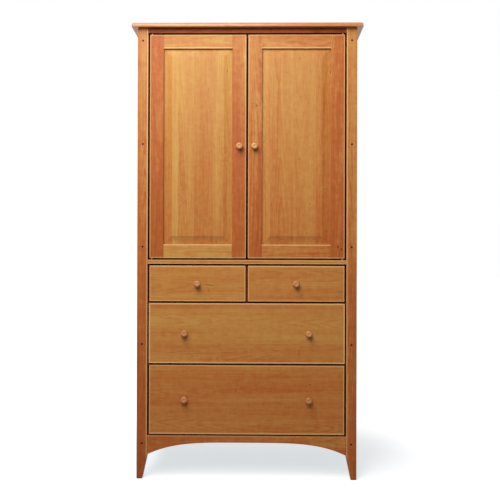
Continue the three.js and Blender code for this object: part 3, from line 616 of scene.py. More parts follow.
def middle_of(piece):
    """The middle of a piece's box."""
    corners = [Vector(c) for c in piece.bound_box]
    return (Vector(map(min, *corners)) + Vector(map(max, *corners))) / 2


def ending_in(*endings):
    """The frame nodes whose names end in one of these, in order."""
    return sorted(node for node in frame["nodes"] if node.endswith(endings))


def body_of(node):
    """The name of the body that a frame node rides on."""
    return frame["nodes"][node]["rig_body"]


def new_piece(name, data):
    """An object at the origin that holds a mesh, a lamp or a camera."""
    piece = bpy.data.objects.new(name, data)
    bpy.context.scene.collection.objects.link(piece)
    return piece


def wooden(piece, species, grain, width, node=None, body=None, **looks):
    """Gives a piece its timber, its body and its slot, and has it stand for a frame node."""
    piece.data.materials.clear()
    piece.data.materials.append(timber(piece, species, grain, width, **looks))
    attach(piece, body or body_of(node))
    if node:
        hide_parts(node)


def as_it_is(node, material):
    """Gives a frame node a material of its own, and leaves its solid as it is."""
    solid = frame["nodes"][node]
    solid.data.materials.clear()
    solid.data.materials.append(None)
    solid.material_slots[0].link = "OBJECT"
    solid.material_slots[0].material = material


MERGE = 0.005 * MM  # nearer than this, two corners are one
ON_FACE = 4 * MERGE  # nearer than this, a corner lies on a face
TOUCHING = 0.55 * MM  # nearer than this, two solids of one body are a joint
SAMPLE_STEP = 4 * MM  # how closely an edge is searched for joints
FLAT = 0.4  # triangles that meet at less than this are one flat face, degrees
SHARP = {"board": 30, "top": 28, "turned": 40, "fitting": 35}  # an edge stays sharp from here, degrees
ARRIS_SEGMENTS = 3
TURNED_SIDES = 48


def as_piece(work, name, sharp):
    """Ends a mesh under work as a piece that is smooth, apart from its sharp edges."""
    mesh = bpy.data.meshes.new(name)
    work.to_mesh(mesh)
    work.free()
    if "custom_normal" in mesh.attributes:
        mesh.attributes.remove(mesh.attributes["custom_normal"])
    mesh.shade_smooth()
    mesh.set_sharp_from_angle(angle=math.radians(sharp))
    return new_piece(name, mesh)


def skin(work, rings):
    """Faces between rings of corners that follow each other, where a ring may be one point."""
    for lower, upper in zip(rings, rings[1:], strict=False):
        count = max(len(lower), len(upper))
        for i in range(count):
            at = [ring[k % len(ring)] for ring, k in ((lower, i), (lower, i + 1), (upper, i + 1), (upper, i))]
            work.faces.new(list(dict.fromkeys(at)))
    bmesh.ops.recalc_face_normals(work, faces=work.faces)


def whole_faces(node):
    """A node's solid with its loose triangles joined and its flat faces made whole."""
    solid = bmesh.new()
    solid.from_mesh(frame["nodes"][node].data)
    bmesh.ops.remove_doubles(solid, verts=solid.verts, dist=MERGE)
    bmesh.ops.dissolve_limit(solid, angle_limit=math.radians(FLAT), verts=solid.verts, edges=solid.edges)
    bmesh.ops.recalc_face_normals(solid, faces=solid.faces)
    return solid


def neighbours(node):
    """A search tree over the other solids of the node's body."""
    points, faces = [], []
    for name, other in frame["nodes"].items():
        if name == node or other["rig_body"] != body_of(node):
            continue
        first = len(points)
        points += [v.co.copy() for v in other.data.vertices]
        faces += [[first + i for i in p.vertices] for p in other.data.polygons]
    return BVHTree.FromPolygons(points, faces) if faces else None


def split_at_joints(edge, others):
    """Cuts an edge where it runs into or out of a joint, and returns the parts that are free."""
    start, end = edge.verts[0].co.copy(), edge.verts[1].co.copy()
    count = max(2, math.ceil((end - start).length / SAMPLE_STEP))

    def free(at):
        return others is None or others.find_nearest(start.lerp(end, at), TOUCHING)[0] is None

    states = [free((i + 0.5) / count) for i in range(count)]
    changes = [i for i in range(1, count) if states[i] != states[i - 1]]
    parts, first, done = [], edge.verts[0], 0
    for change in changes:
        cut_off, corner = bmesh.utils.edge_split(edge, first, (change - done) / (count - done))
        parts.append(cut_off)
        first, done = corner, change
    parts.append(edge)
    runs = [states[i] for i in [0, *changes]]
    return [part for part, is_free in zip(parts, runs, strict=True) if is_free]


def edge_of(box):
    """A test for an edge that lies on two faces of a box."""
    low, high = box

    def test(part):
        sides = [
            all(min(abs(v.co[axis] - low[axis]), abs(v.co[axis] - high[axis])) < ON_FACE for v in part.verts)
            for axis in range(3)
        ]
        return sum(sides) >= 2

    return test


def eased(node, radius, inner=None, is_outer=None, least_angle=35.0, reshape=None):
    """A copy of a node's solid with every free outer edge rounded, and every joint left tight.

    Edges that pass the is_outer test take the radius, and other free edges take the inner one. The reshape
    function, if any, moves corners first.
    """
    solid = whole_faces(node)
    if reshape:
        reshape(solid)
    others = neighbours(node)
    weight = solid.edges.layers.float.new("bevel_weight_edge")
    sharp = [
        e for e in solid.edges if e.is_manifold and e.calc_face_angle_signed() > math.radians(least_angle)
    ]
    for edge in sharp:
        for part in split_at_joints(edge, others):
            part[weight] = 1.0 if is_outer is None or is_outer(part) else inner / radius
    piece = as_piece(solid, node + "_eased", SHARP["board"])
    rounding = piece.modifiers.new("Arris", "BEVEL")
    rounding.limit_method = "WEIGHT"
    rounding.width = radius
    rounding.segments = ARRIS_SEGMENTS
    rounding.use_clamp_overlap = False
    rounding.harden_normals = True
    return plain(piece)


def plain(piece):
    """Puts a piece's modifiers into its mesh."""
    evaluated = piece.evaluated_get(bpy.context.evaluated_depsgraph_get())
    piece.data = bpy.data.meshes.new_from_object(evaluated)
    piece.modifiers.clear()
    return piece


def turned(name, outline, centre, axis):
    """A shape turned from (radius, distance along the axis), which ends on the axis or meets itself."""
    side = Vector((0, 0, 1)) if abs(axis.z) < 0.5 else Vector((1, 0, 0))
    other = axis.cross(side)
    angles = [2 * math.pi * i / TURNED_SIDES for i in range(TURNED_SIDES)]
    work = bmesh.new()
    rings = []
    for radius, along in outline:
        spokes = [
            side * math.cos(a) + other * math.sin(a) for a in (angles if radius > MERGE else angles[:1])
        ]
        rings.append([work.verts.new(centre + axis * along + spoke * radius) for spoke in spokes])
    skin(work, rings + rings[:1] if len(rings[0]) > 1 else rings)
    return as_piece(work, name, SHARP["turned"])


def curve(start, pull, end, steps):
    """Points along a quadratic curve, without its start."""
    return [
        tuple(
            (1 - t) ** 2 * a + 2 * t * (1 - t) * b + t * t * c
            for a, b, c in zip(start, pull, end, strict=True)
        )
        for t in ((i + 1) / steps for i in range(steps))
    ]


# ---- Case ----

POSTS = ("front_left_post", "front_right_post", "back_left_post", "back_right_post")
# How much stronger the figure of the posts, rails and stiles is than that of the wide boards.
FRAME_FIGURE = 1.5
POST_TONES = (-0.04, -0.05)  # left and right
POST_EDGE_HIGHLIGHT = 0.7  # how pale the painted highlight along the edges of the posts is
# Each front rail: how much paler it is, how strong the painted highlight along its edges is, and how glossy
# it is. The top rail is darker as painted shade under the overhang of the top.
RAILS = {"apron": (0.16, 0.35, 0.12), "middle_rail": (0.2, 0.5, 0.12), "top_rail": (-0.55, 0.0, 0.05)}
# Side, back and inside boards: (node, grain, staves across, stave width, tone).
CASE_BOARDS = (
    ("left_side_panel", "Z", "Y", 105, 0.04),
    ("right_side_panel", "Z", "Y", 105, 0.04),
    ("back_panel", "Z", "X", 150, 0.0),
    ("wardrobe_floor", "X", "Y", 120, 0.0),
    # The door stop strip is darker where it shows through the gaps round the doors: painted shade.
    ("door_stop_strip", "X", "Z", 0, -0.5),
)
# Maple boards with a cherry lipping along the front: (node, grain, staves across, stave width).
LIPPED_BOARDS = (
    ("upper_dust_panel", "X", "Y", 120),
    ("lower_dust_panel", "X", "Y", 120),
    ("bottom_panel", "X", "Y", 120),
    ("drawer_partition", "Y", "Z", 90),
)
LIPPING = 22 * MM
# The lippings are darker where they show through the gaps between the drawers: painted shade.
LIPPING_TONE = -0.4


def cut_at(piece, y):
    """Cuts a piece in two at a depth, and returns its front and back parts, both closed."""
    parts = []
    for name, keep_front in (("lipping", True), ("board", False)):
        work = bmesh.new()
        work.from_mesh(piece.data)
        cut = bmesh.ops.bisect_plane(
            work,
            geom=[*work.verts, *work.edges, *work.faces],
            plane_co=(0, y, 0),
            plane_no=(0, 1, 0),
            clear_outer=keep_front,
            clear_inner=not keep_front,
        )
        bmesh.ops.holes_fill(work, edges=[e for e in cut["geom_cut"] if isinstance(e, bmesh.types.BMEdge)])
        bmesh.ops.recalc_face_normals(work, faces=work.faces)
        mesh = bpy.data.meshes.new(f"{piece.name}_{name}")
        work.to_mesh(mesh)
        work.free()
        mesh.set_sharp_from_angle(angle=math.radians(SHARP["board"]))
        parts.append(new_piece(mesh.name, mesh))
    bpy.data.objects.remove(piece)
    return parts


FAR = 2.0  # metres past the case, where an outline doesn't count


def inner_face(post):
    """A box that has only a post's inner face on its outline: its other faces are far away."""
    low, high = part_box(post)
    far = Vector((FAR, FAR, FAR))
    near_x = high.x if high.x < 0 else low.x
    far_low, far_high = low - far, high + far
    if near_x < 0:
        far_high.x = near_x
    else:
        far_low.x = near_x
    return far_low, far_high


class CaseMaker(bpy.types.Operator):
    """Eases and finishes the posts, rails, sides, back and shelves"""

    bl_idname = "armoire.case"
    bl_label = "Case"

    def execute(self, context):
        edges = context.scene.armoire_edges
        for node in POSTS:
            piece = eased(node, edges.foot, edges.case, lambda part: all(v.co.z < MERGE for v in part.verts))
            looks = {"tone": POST_TONES["right" in node], "marked": FRAME_FIGURE}
            wooden(piece, "cherry", "Z", "X", node, rubbed=POST_EDGE_HIGHLIGHT, outline=inner_face(node), **looks)
        for node, (tone, rubbed, gloss) in RAILS.items():
            looks = {"tone": tone, "gloss": gloss, "marked": FRAME_FIGURE}
            piece = eased(node, edges.case)
            wooden(piece, "cherry", "X", "Z", node, rubbed=rubbed, outline=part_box(node), **looks)
        for node, grain, width, staves, tone in CASE_BOARDS:
            wooden(eased(node, edges.inside), "cherry", grain, width, node, staves=staves, tone=tone)
        for node, grain, width, staves in LIPPED_BOARDS:
            lipping, board = cut_at(eased(node, edges.inside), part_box(node)[0].y + LIPPING)
            front = "Z" if grain == "Y" else "X"
            wooden(lipping, "cherry", front, "Y", body=body_of(node), tone=LIPPING_TONE)
            wooden(board, "maple", grain, width, node, staves=staves)
        return {"FINISHED"}


CORNER_RADIUS = 5 * MM
CORNER_STEPS = 6
EDGE_STEPS = 14
UNDER_ARRIS = 1.2 * MM
HALF_ROUND = 0.3  # how far in from both of its faces the middle of a rounded arris is, as a part of its width
TOP_LOOKS = {"staves": 115, "tone": -0.06, "gloss": 0.6}


def top_outline(low, high, inset):
    """The outline of the top at one height: rounded front corners, square at the back."""
    points = []
    for x, sign, angle in ((low.x, 1, math.pi), (high.x, -1, math.pi * 1.5)):
        centre_x = x + sign * CORNER_RADIUS
        centre_y = low.y + CORNER_RADIUS
        reach = CORNER_RADIUS - inset
        for i in range(CORNER_STEPS + 1):
            a = angle + math.pi / 2 * i / CORNER_STEPS
            if reach > 0:
                points.append((centre_x + reach * math.cos(a), centre_y + reach * math.sin(a)))
            else:
                points.append((x + sign * inset, low.y + inset))
    return [*points, (high.x - inset, high.y), (low.x + inset, high.y)]


class TopMaker(bpy.types.Operator):
    """Moulds the top round its front and ends"""

    bl_idname = "armoire.top"
    bl_label = "Top"

    def execute(self, context):
        edges = context.scene.armoire_edges
        low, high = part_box("top")
        halfway = UNDER_ARRIS * HALF_ROUND
        levels = [(low.z, UNDER_ARRIS), (low.z + halfway, halfway), (low.z + UNDER_ARRIS, 0.0)]
        start = high.z - edges.top_height
        for i in range(EDGE_STEPS + 1):
            turn = math.pi / 2 * i / EDGE_STEPS
            levels.append((start + edges.top_height * math.sin(turn), edges.top_width * (1 - math.cos(turn))))
        work = bmesh.new()
        rings = [[work.verts.new((x, y, z)) for x, y in top_outline(low, high, inset)] for z, inset in levels]
        work.faces.new(list(reversed(rings[0])))
        work.faces.new(rings[-1])
        skin(work, rings)
        bmesh.ops.remove_doubles(work, verts=work.verts, dist=MERGE)
        bmesh.ops.recalc_face_normals(work, faces=work.faces)
        wooden(as_piece(work, "moulded_top", SHARP["top"]), "cherry", "X", "Y", "top", **TOP_LOOKS)
        return {"FINISHED"}


# ---- Doors and drawers ----

DOOR_STILES = ("hinge_stile", "lock_stile")
DOOR_RAILS = ("top_rail", "bottom_rail")
DOOR_EDGE_HIGHLIGHT = 0.85  # how pale the painted highlight along the edges of the door frames is
PANEL_STAVES = 96  # mm
BEVEL_ANGLE = 6.0  # from here the edge of a panel's bevel is rounded, degrees
# How much paler than the body colour each board of the doors is.
DOOR_TONES = {
    "left_door_hinge_stile": -0.2,
    "left_door_lock_stile": -0.06,
    "left_door_top_rail": 0.08,
    "left_door_bottom_rail": 0.18,
    "left_door_panel": 0.08,
    "right_door_hinge_stile": -0.2,
    "right_door_lock_stile": -0.08,
    "right_door_top_rail": -0.06,
    "right_door_bottom_rail": 0.14,
    "right_door_panel": 0.11,
}
# Each door panel: where one seam of its boards is, on which side of it the outer board is, and how much
# paler that board is than the others.
PANEL_SEAMS = {
    "left_door_panel": (-0.294, "LESS_THAN", 0.08), "right_door_panel": (0.311, "GREATER_THAN", -0.07)
}
DRAWER_EDGE_HIGHLIGHT = 0.95  # how pale the painted highlight along the edges of the drawer fronts is
BOTTOM_STAVES = 110  # mm
# Each drawer front: how wide its staves are, 0 for one board, and how much paler it is.
DRAWER_FRONTS = {
    "top_left_drawer_front": (0, 0.26),
    "top_right_drawer_front": (0, 0.22),
    "middle_drawer_front": (130, 0.28),
    "bottom_drawer_front": (150, 0.27),
}


def box_round(nodes):
    """The box round several nodes."""
    boxes = [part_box(n) for n in nodes]
    return Vector(map(min, *(b[0] for b in boxes))), Vector(map(max, *(b[1] for b in boxes)))


def opening_of(door):
    """A box from the bottom rail of a door's frame to its top rail, with its ends far away."""
    top, bottom = (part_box(f"{door}_{part}") for part in DOOR_RAILS)
    return Vector((-FAR, top[0].y, bottom[1].z)), Vector((FAR, top[1].y, top[0].z))


def drop_tongue(solid, fall):
    """Sets the tongue of a raised panel back, so that the bevel round its field is steeper."""
    field = min(v.co.y for v in solid.verts)
    tongue = min(v.co.y for v in solid.verts if v.co.y > field + MM)
    for vert in solid.verts:
        if abs(vert.co.y - tongue) < ON_FACE:
            vert.co.y = field + fall


class DoorMaker(bpy.types.Operator):
    """Eases and finishes the door frames and their raised panels"""

    bl_idname = "armoire.doors"
    bl_label = "Doors"

    def execute(self, context):
        edges = context.scene.armoire_edges
        for door in ("left_door", "right_door"):
            frame_box = box_round([f"{door}_{part}" for part in DOOR_STILES + DOOR_RAILS])
            opening = opening_of(door)
            for part in DOOR_STILES + DOOR_RAILS:
                node = f"{door}_{part}"
                piece = eased(node, edges.front, edges.inner, edge_of(frame_box))
                is_stile = part in DOOR_STILES
                looks = {"tone": DOOR_TONES[node], "marked": FRAME_FIGURE, "rubbed": DOOR_EDGE_HIGHLIGHT}
                looks.update(outline=frame_box, opening=None if is_stile else opening)
                wooden(piece, "cherry", *("ZX" if is_stile else "XZ"), node, **looks)
            node = f"{door}_panel"
            drop = partial(drop_tongue, fall=edges.tongue)
            piece = eased(node, edges.panel, least_angle=BEVEL_ANGLE, reshape=drop)
            looks = {"staves": PANEL_STAVES, "tone": DOOR_TONES[node], "seam": PANEL_SEAMS[node]}
            wooden(piece, "cherry", "Z", "X", node, **looks)
        return {"FINISHED"}


class DrawerMaker(bpy.types.Operator):
    """Eases and finishes the drawer fronts and boxes"""

    bl_idname = "armoire.drawers"
    bl_label = "Drawers"

    def execute(self, context):
        edges = context.scene.armoire_edges
        for node, (staves, tone) in DRAWER_FRONTS.items():
            piece = eased(node, edges.front, edges.inside, edge_of(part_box(node)))
            looks = {"staves": staves, "tone": tone, "rubbed": DRAWER_EDGE_HIGHLIGHT, "outline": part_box(node)}
            wooden(piece, "cherry", "X", "Z", node, **looks)
        for node in ending_in("drawer_box", "drawer_left_side", "drawer_right_side", "drawer_back"):
            wooden(eased(node, edges.inside), "maple", "X" if node.endswith("back") else "Y", "Z", node)
        for node in ending_in("drawer_bottom"):
            as_it_is(node, timber(frame["nodes"][node], "maple", "X", "Y", BOTTOM_STAVES))
        return {"FINISHED"}


# ---- Knobs ----

CURVE_STEPS = 10
KNOB_GLOSS = 0.4
KNOB_TONES = (0.14, 0.12)  # on the drawers and on the doors
SPIGOT = (5 * MM, 14 * MM)  # its radius, and how far it goes into the wood
KNOB_GAP = 0.3 * MM  # between the knob and the wood
# Radii of the knob's foot, of its neck and of the dish in its face, and how far out they are from the wood.
FOOT = 9 * MM
NECK, NECK_AT = 6.5 * MM, 7 * MM
RIM_AT = 17 * MM
DISH, DISH_DEPTH = 6 * MM, 1.6 * MM


class KnobMaker(bpy.types.Operator):
    """Turns the knobs, each with a dished face, a round rim and a spigot in the wood"""

    bl_idname = "armoire.knobs"
    bl_label = "Knobs"

    def execute(self, context):
        for node in ending_in("knob"):
            low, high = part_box(node)
            rim = (high.x - low.x) / 2
            thickness, depth = SPIGOT
            seat = high.y - depth
            face = seat - low.y
            outline = [(0, -depth), (thickness, -depth), (thickness, KNOB_GAP), (FOOT, KNOB_GAP)]
            for pull, end in (
                ((NECK, KNOB_GAP), (NECK, NECK_AT)),
                ((NECK, RIM_AT), (rim, RIM_AT)),
                ((rim, face), (DISH, face)),
                ((DISH / 2, face - DISH_DEPTH), (0, face - DISH_DEPTH)),
            ):
                outline += curve(outline[-1], pull, end, CURVE_STEPS)
            centre = Vector(((low.x + high.x) / 2, seat, (low.z + high.z) / 2))
            piece = turned(node + "_turned", outline, centre, Vector((0, -1, 0)))
            wooden(piece, "knob", "Z", "X", node, tone=KNOB_TONES["door" in node], gloss=KNOB_GLOSS)
        return {"FINISHED"}


# ---- Pegs, screws and other fittings ----

PEG_SIDES, PEG_RINGS = 20, 10
JUST_BELOW = -1e-6  # corners of the dome's rim aren't under it
SCREW_SIDES = 24


def peg_tree():
    """A round peg at each point, its domed end facing out of the wood."""
    tree, add, given = new_tree(
        "Pegs",
        "GeometryNodeTree",
        {"Points": "Geometry", "Diameter": 0.006, "Dome": 0.0005, "Length": 0.008, "Material": "Material"},
        {"Mesh": "Geometry"},
    )
    radius = add("Math", (given["Diameter"], 0.5), "MULTIPLY")
    size = add("CombineXYZ", (radius, radius, given["Dome"]))
    ball = add("GeometryNodeMeshUVSphere", {"Segments": PEG_SIDES, "Rings": PEG_RINGS, "Radius": 1.0})
    domed = add("GeometryNodeTransform", {"Geometry": ball, "Scale": size})
    height = add("SeparateXYZ", (add("GeometryNodeInputPosition"),)).outputs[2]
    below = add("FunctionNodeCompare", (height, JUST_BELOW), "LESS_THAN")
    down = add("Math", (given["Length"], -1.0), "MULTIPLY")
    offset = add("CombineXYZ", {2: down})
    peg = add("GeometryNodeSetPosition", {"Geometry": domed, "Selection": below, "Offset": offset})
    return set_out_tree(tree, given, peg)


# A screw's shank and head depth as parts of its head's radius, and its slot's length and depth as parts of
# the head's diameter and of the slot's width.
SHANK, HEAD_DEPTH = 0.45, 0.7
SLOT = (1.2, 1.0, 1.6)


def screw_tree():
    """A countersunk, slotted screw head at each point, turned as it happened to stop."""
    tree, add, given = new_tree(
        "Slotted screws",
        "GeometryNodeTree",
        {
            "Points": "Geometry",
            "Diameter": 0.006,
            "Proud": 0.0002,
            "Slot width": 0.0009,
            "Material": "Material",
        },
        {"Mesh": "Geometry"},
    )
    radius = add("Math", (given["Diameter"], 0.5), "MULTIPLY")
    shank = add("Math", (radius, SHANK), "MULTIPLY")
    depth = add("Math", (radius, HEAD_DEPTH), "MULTIPLY")
    cone = {"Vertices": SCREW_SIDES, "Radius Top": radius, "Radius Bottom": shank, "Depth": depth}
    head = add("GeometryNodeMeshCone", cone)
    sink = add("Math", (given["Proud"], depth), "SUBTRACT")
    head_at = add("CombineXYZ", {2: sink})
    seated = add("GeometryNodeTransform", {"Geometry": head, "Translation": head_at})
    slot_size = add("CombineXYZ", (given["Diameter"], given["Slot width"], given["Slot width"]))
    slot_long = add("VectorMath", (slot_size, SLOT), "MULTIPLY")
    slot = add("GeometryNodeMeshCube", {"Size": slot_long})
    slot_at = add("CombineXYZ", {2: given["Proud"]})
    slot_placed = add("GeometryNodeTransform", {"Geometry": slot, "Translation": slot_at})
    cut = add("GeometryNodeMeshBoolean", {"Mesh 1": seated, "Mesh 2": slot_placed}, "DIFFERENCE")
    return set_out_tree(tree, given, cut)


SPIN_SEED = 7  # for how far round each screw and peg is turned


def set_out_tree(tree, given, shape):
    """Ends a tree: the shape on every point, facing as the point says, with its material."""
    add = partial(add_node, tree)
    facing = add("GeometryNodeInputNamedAttribute", {"Name": "facing"}, data_type="FLOAT_VECTOR")
    aligned = add("FunctionNodeAlignRotationToVector", {"Vector": facing}, axis="Z")
    spin = add(
        "FunctionNodeRandomValue", {2: 0.0, 3: math.pi, "Seed": SPIN_SEED}, data_type="FLOAT"
    ).outputs[1]
    about = add("CombineXYZ", {2: spin})
    turn = add("FunctionNodeEulerToRotation", (about,))
    rotation = add("FunctionNodeRotateRotation", (aligned, turn), rotation_space="LOCAL")
    copies = add(
        "GeometryNodeInstanceOnPoints", {"Points": given["Points"], "Instance": shape, "Rotation": rotation}
    )
    real = add("GeometryNodeRealizeInstances", (copies,))
    finished = add("GeometryNodeSetMaterial", {"Geometry": real, "Material": given["Material"]})
    add("NodeGroupOutput", (finished,))
    return tree


def set_out(name, tree, places, inputs, body):
    """Sets out one fitting at each place, (point, facing), as one plain mesh that rides on a body."""
    points = bpy.data.meshes.new(name)
    points.from_pydata([p for p, _ in places], [], [])
    facing = points.attributes.new("facing", "FLOAT_VECTOR", "POINT")
    facing.data.foreach_set("vector", [c for _, f in places for c in f])
    piece = new_piece(name, points)
    modifier = piece.modifiers.new("Set out", "NODES")
    modifier.node_group = tree
    for socket in tree.interface.items_tree:
        if socket.in_out == "INPUT" and socket.name in inputs:
            modifier[socket.identifier] = inputs[socket.name]
    plain(piece)
    if not piece.data.polygons:
        raise RuntimeError(f"{name} came out empty")
    piece.data.set_sharp_from_angle(angle=math.radians(SHARP["fitting"]))
    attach(piece, body)
    return piece


PEG_HEIGHTS = (150, 570, 983, 1418, 1857)  # above the floor, mm
PEG_LENGTH = 8 * MM
HINGE_SCREWS = (8, 24)  # from the inner end of a leaf, mm
BACK_INSET = 14 * MM  # from the edge of the back panel to its screws
PROUD = 0.15 * MM  # how far a screw head stands out of the wood or leaf
HINGE_SLOT, BACK_SLOT = 0.9 * MM, 1.0 * MM
# The rings of the clothes rod: how far from the rod and from the side, and where the outline turns round, as
# parts of the ring's width and thickness.
RING_GAP, RING_OFF_WALL = 0.3 * MM, 0.1 * MM
RING_ROUND_FROM, RING_FLAT_TO, RING_HOLE_END = 0.3, 0.4, 0.8
RING_STEPS = 8


def screws(name, places, body, diameter, slot_width):
    """Sets out a brass screw at each place, as one mesh."""
    tree = bpy.data.node_groups.get("Slotted screws") or screw_tree()
    inputs = {"Diameter": diameter, "Proud": PROUD, "Slot width": slot_width, "Material": brushed_brass()}
    set_out(name, tree, places, inputs, body)


class HingeMaker(bpy.types.Operator):
    """Finishes the pivot hinges in brass, with two slotted screws in each leaf"""

    bl_idname = "armoire.hinges"
    bl_label = "Hinges"

    def execute(self, context):
        places = {}
        for node in ending_in("_leaf"):
            as_it_is(node, brushed_brass())
            low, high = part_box(node)
            at_top, in_frame = "_top_" in node, "frame" in node
            side = "left" if node.startswith("left") else "right"
            if in_frame:
                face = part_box("top_rail")[0].z if at_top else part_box("middle_rail")[1].z
            else:
                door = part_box(f"{side}_door_hinge_stile")
                face = door[1].z if at_top else door[0].z
            out = Vector((0, 0, -1 if at_top == in_frame else 1))
            inner, toward = (low.x, 1) if side == "right" else (high.x, -1)
            for step in HINGE_SCREWS:
                point = Vector((inner + toward * step * MM, (low.y + high.y) / 2, face))
                places.setdefault(body_of(node), []).append((point, out))
        for body, spots in places.items():
            head = context.scene.armoire_fittings.hinge_screw
            screws(f"{body}_hinge_screws", spots, body, head, HINGE_SLOT)
        return {"FINISHED"}


class FittingMaker(bpy.types.Operator):
    """Sets out the pegs and back screws, and finishes the clothes rod and its rings"""

    bl_idname = "armoire.fittings"
    bl_label = "Fittings"

    def execute(self, context):
        sizes = context.scene.armoire_fittings
        self.pegs(sizes)
        self.back_screws(sizes)
        self.rod(sizes)
        return {"FINISHED"}

    def pegs(self, sizes):
        """Pegs in the front of the front posts, where the rails are jointed to them."""
        places = []
        for node in ("front_left_post", "front_right_post"):
            low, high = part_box(node)
            for height in PEG_HEIGHTS:
                places.append((Vector(((low.x + high.x) / 2, low.y, height * MM)), Vector((0, -1, 0))))
        material = timber(frame["nodes"][POSTS[0]], "peg", "Y", "X")
        material.name = SPECIES["peg"]["title"]
        inputs = {"Diameter": sizes.peg_diameter, "Dome": sizes.peg_dome, "Length": PEG_LENGTH}
        inputs["Material"] = material
        set_out("post_pegs", peg_tree(), places, inputs, "carcass")

    def back_screws(self, sizes):
        """Screws all round the back panel."""
        low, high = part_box("back_panel")
        x, z = ((low[i] + BACK_INSET, high[i] - BACK_INSET) for i in (0, 2))
        across = max(1, round((x[1] - x[0]) / sizes.back_pitch))
        up = max(1, round((z[1] - z[0]) / sizes.back_pitch))
        spots = [(x[0] + (x[1] - x[0]) * i / across, at) for i in range(across + 1) for at in z]
        spots += [(at, z[0] + (z[1] - z[0]) * i / up) for i in range(1, up) for at in x]
        places = [(Vector((a, high.y, b)), Vector((0, 1, 0))) for a, b in spots]
        screws("back_screws", places, "carcass", sizes.back_screw, BACK_SLOT)

    def rod(self, sizes):
        """The clothes rod, and a turned ring round each of its ends."""
        as_it_is("clothes_rod", timber(frame["nodes"]["clothes_rod"], "maple", "X", "Y"))
        low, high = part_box("clothes_rod")
        hole = (high.z - low.z) / 2 + RING_GAP
        width, thick = sizes.ring_width, sizes.ring_thickness
        rim, turn_at = hole + width, thick * RING_ROUND_FROM
        outline = [(hole, 0), (rim, 0), (rim, turn_at)]
        outline += curve((rim, turn_at), (rim, thick), (hole + width * RING_FLAT_TO, thick), RING_STEPS)
        outline += [(hole, thick * RING_HOLE_END)]
        for name, side, inward in (("left_rod_ring", "left", 1), ("right_rod_ring", "right", -1)):
            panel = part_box(f"{side}_side_panel")
            wall = panel[1].x if inward > 0 else panel[0].x
            centre = Vector((wall + inward * RING_OFF_WALL, (low.y + high.y) / 2, (low.z + high.z) / 2))
            ring = turned(name, outline, centre, Vector((inward, 0, 0)))
            wooden(ring, "maple", "X", "Y", body="carcass")


# ---- Stage ----

FLOOR_SIZE = 60.0  # m
SHADE_REACH = (0.6, 1.25)  # where the cabinet's shade starts to fade and is gone, from its middle, m
WHITE = (1, 1, 1, 1)
AIM = 0.6  # how far up the cabinet the lamps point
# Each lamp: where it stands and how wide it is, in metres. The rear one has a twin on the other side.
KEY_LAMP = ((-0.7, -1.6, 3.05), 1.7)
FILL_LAMP = ((-0.4, -3.2, 2.7), 1.6)
REAR_LAMP = ((2.7, 1.9, 2.2), 1.6)
SENSOR = 36.0  # mm
FARTHEST_SEEN = 200.0  # m


def seen_at_all(add):
    """1 for rays that show the stage, and 0 for those that only carry its light."""
    path = add("LightPath").outputs
    seen = add("Math", (path["Is Camera Ray"], path["Is Glossy Ray"]), "MAXIMUM")
    return add("Math", (seen, path["Is Transmission Ray"]), "MAXIMUM")


def studio_floor(tint, shaded, bounce):
    """Seamless white paper: matt, and seen as white except where the cabinet shades it."""
    made, add = new_look(bpy.data.materials, "Seamless studio paper")
    far = add("VectorMath", (add("TexCoord").outputs["Object"],), "LENGTH")
    shade = add("MapRange", (far, *SHADE_REACH), **SMOOTH)
    seen = seen_at_all(add)
    look = add("Mix", {"Factor": seen, 6: bounce, 7: tint}, data_type="RGBA")
    paper = add("BsdfDiffuse", {"Color": look})
    white = add("Mix", {"Factor": shade, 6: shaded, 7: WHITE}, data_type="RGBA")
    glow = add("Emission", {"Color": white, "Strength": seen})
    add("OutputMaterial", {"Surface": add("AddShader", (paper, glow))})
    return made


def studio_sky(strength):
    """Even white light all round, seen as plain white."""
    world, add = new_look(bpy.data.worlds, "Studio sky")
    bright = add("MapRange", (seen_at_all(add), 0.0, 1.0, strength, 1.0))
    add("OutputWorld", {"Surface": add("Background", {"Color": WHITE, "Strength": bright})})
    return world


def softbox(name, place, size, power):
    """A square lamp that points at the cabinet."""
    lamp = bpy.data.lights.new(name, "AREA")
    lamp.shape, lamp.size, lamp.energy = "SQUARE", size, power
    holder = new_piece(name, lamp)
    holder.location = place
    target = Vector((0, 0, CAD_BOX[1].z * AIM))
    holder.rotation_euler = (target - Vector(place)).to_track_quat("-Z", "Y").to_euler()
    return holder


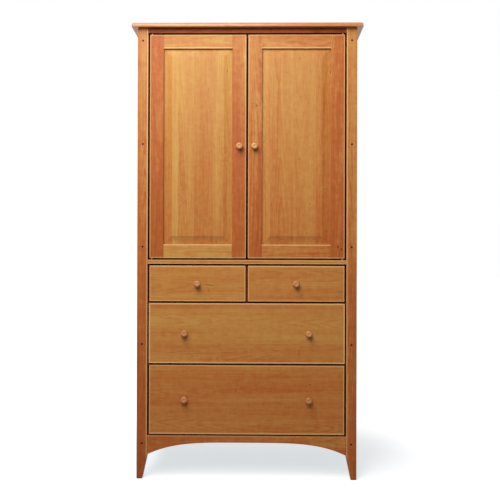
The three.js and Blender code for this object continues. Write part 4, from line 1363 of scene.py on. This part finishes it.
class StageMaker(bpy.types.Operator):
    """Sets up the floor, the lamps and the camera"""

    bl_idname = "armoire.stage"
    bl_label = "Stage"

    def execute(self, context):
        scene = context.scene
        stage = scene.armoire_stage
        mesh = bpy.data.meshes.new("floor")
        half, level = FLOOR_SIZE / 2, CAD_BOX[0].z
        corners = [(-half, -half, level), (half, -half, level), (half, half, level), (-half, half, level)]
        mesh.from_pydata(corners, [], [(0, 1, 2, 3)])
        floor = new_piece("floor", mesh)
        mesh.materials.append(studio_floor(stage.floor, stage.shade, stage.bounce))
        scene.world = studio_sky(stage.sky)
        softbox("key", *KEY_LAMP, stage.key_power)
        softbox("fill", *FILL_LAMP, stage.fill_power)
        # The lamps behind light the cabinet and not the paper, so its shade on the floor stays.
        all_but_floor = bpy.data.collections.new("All but the floor")
        all_but_floor.objects.link(floor)
        all_but_floor.collection_objects[0].light_linking.link_state = "EXCLUDE"
        (x, y, z), size = REAR_LAMP
        for name, side in (("rear_left", -x), ("rear_right", x)):
            lamp = softbox(name, (side, y, z), size, stage.rear_power)
            lamp.light_linking.receiver_collection = all_but_floor

        lens = bpy.data.cameras.new("camera")
        lens.sensor_width, lens.lens, lens.clip_end = SENSOR, stage.lens, FARTHEST_SEEN
        camera = new_piece("camera", lens)
        camera.location = (stage.camera_side, -stage.camera_distance, stage.camera_height)
        turned_to = Euler((math.pi / 2 + stage.camera_tilt, 0, stage.camera_turn)).to_matrix()
        camera.rotation_euler = (turned_to @ Matrix.Rotation(-stage.camera_roll, 3, "Z")).to_euler()
        scene.camera = camera
        scene.view_settings.view_transform = "Standard"
        return {"FINISHED"}


# ---- Add-on ----

OPERATORS = (CaseMaker, TopMaker, DoorMaker, DrawerMaker, KnobMaker, HingeMaker, FittingMaker, StageMaker)


class ArmoirePanel(bpy.types.Panel):
    """Lists the parts of the armoire and their sizes"""

    bl_idname = "VIEW3D_PT_armoire"
    bl_label = "Armoire"
    bl_space_type = "VIEW_3D"
    bl_region_type = "UI"
    bl_category = "Armoire"

    def draw(self, context):
        for maker in OPERATORS:
            self.layout.operator(maker.bl_idname)
        for name, group in PROPERTY_GROUPS.items():
            box = self.layout.box()
            for key in group.__annotations__:
                box.prop(getattr(context.scene, name), key)


CLASSES = (*PROPERTY_GROUPS.values(), *OPERATORS, ArmoirePanel)


def register():
    for cls in CLASSES:
        bpy.utils.register_class(cls)
    for name, group in PROPERTY_GROUPS.items():
        setattr(bpy.types.Scene, name, bpy.props.PointerProperty(type=group))


def unregister():
    for name in PROPERTY_GROUPS:
        delattr(bpy.types.Scene, name)
    for cls in reversed(CLASSES):
        bpy.utils.unregister_class(cls)


def main():
    register()
    for maker in OPERATORS:
        group, name = maker.bl_idname.split(".")
        getattr(getattr(bpy.ops, group), name)()


if __name__ == "__main__":
    main()
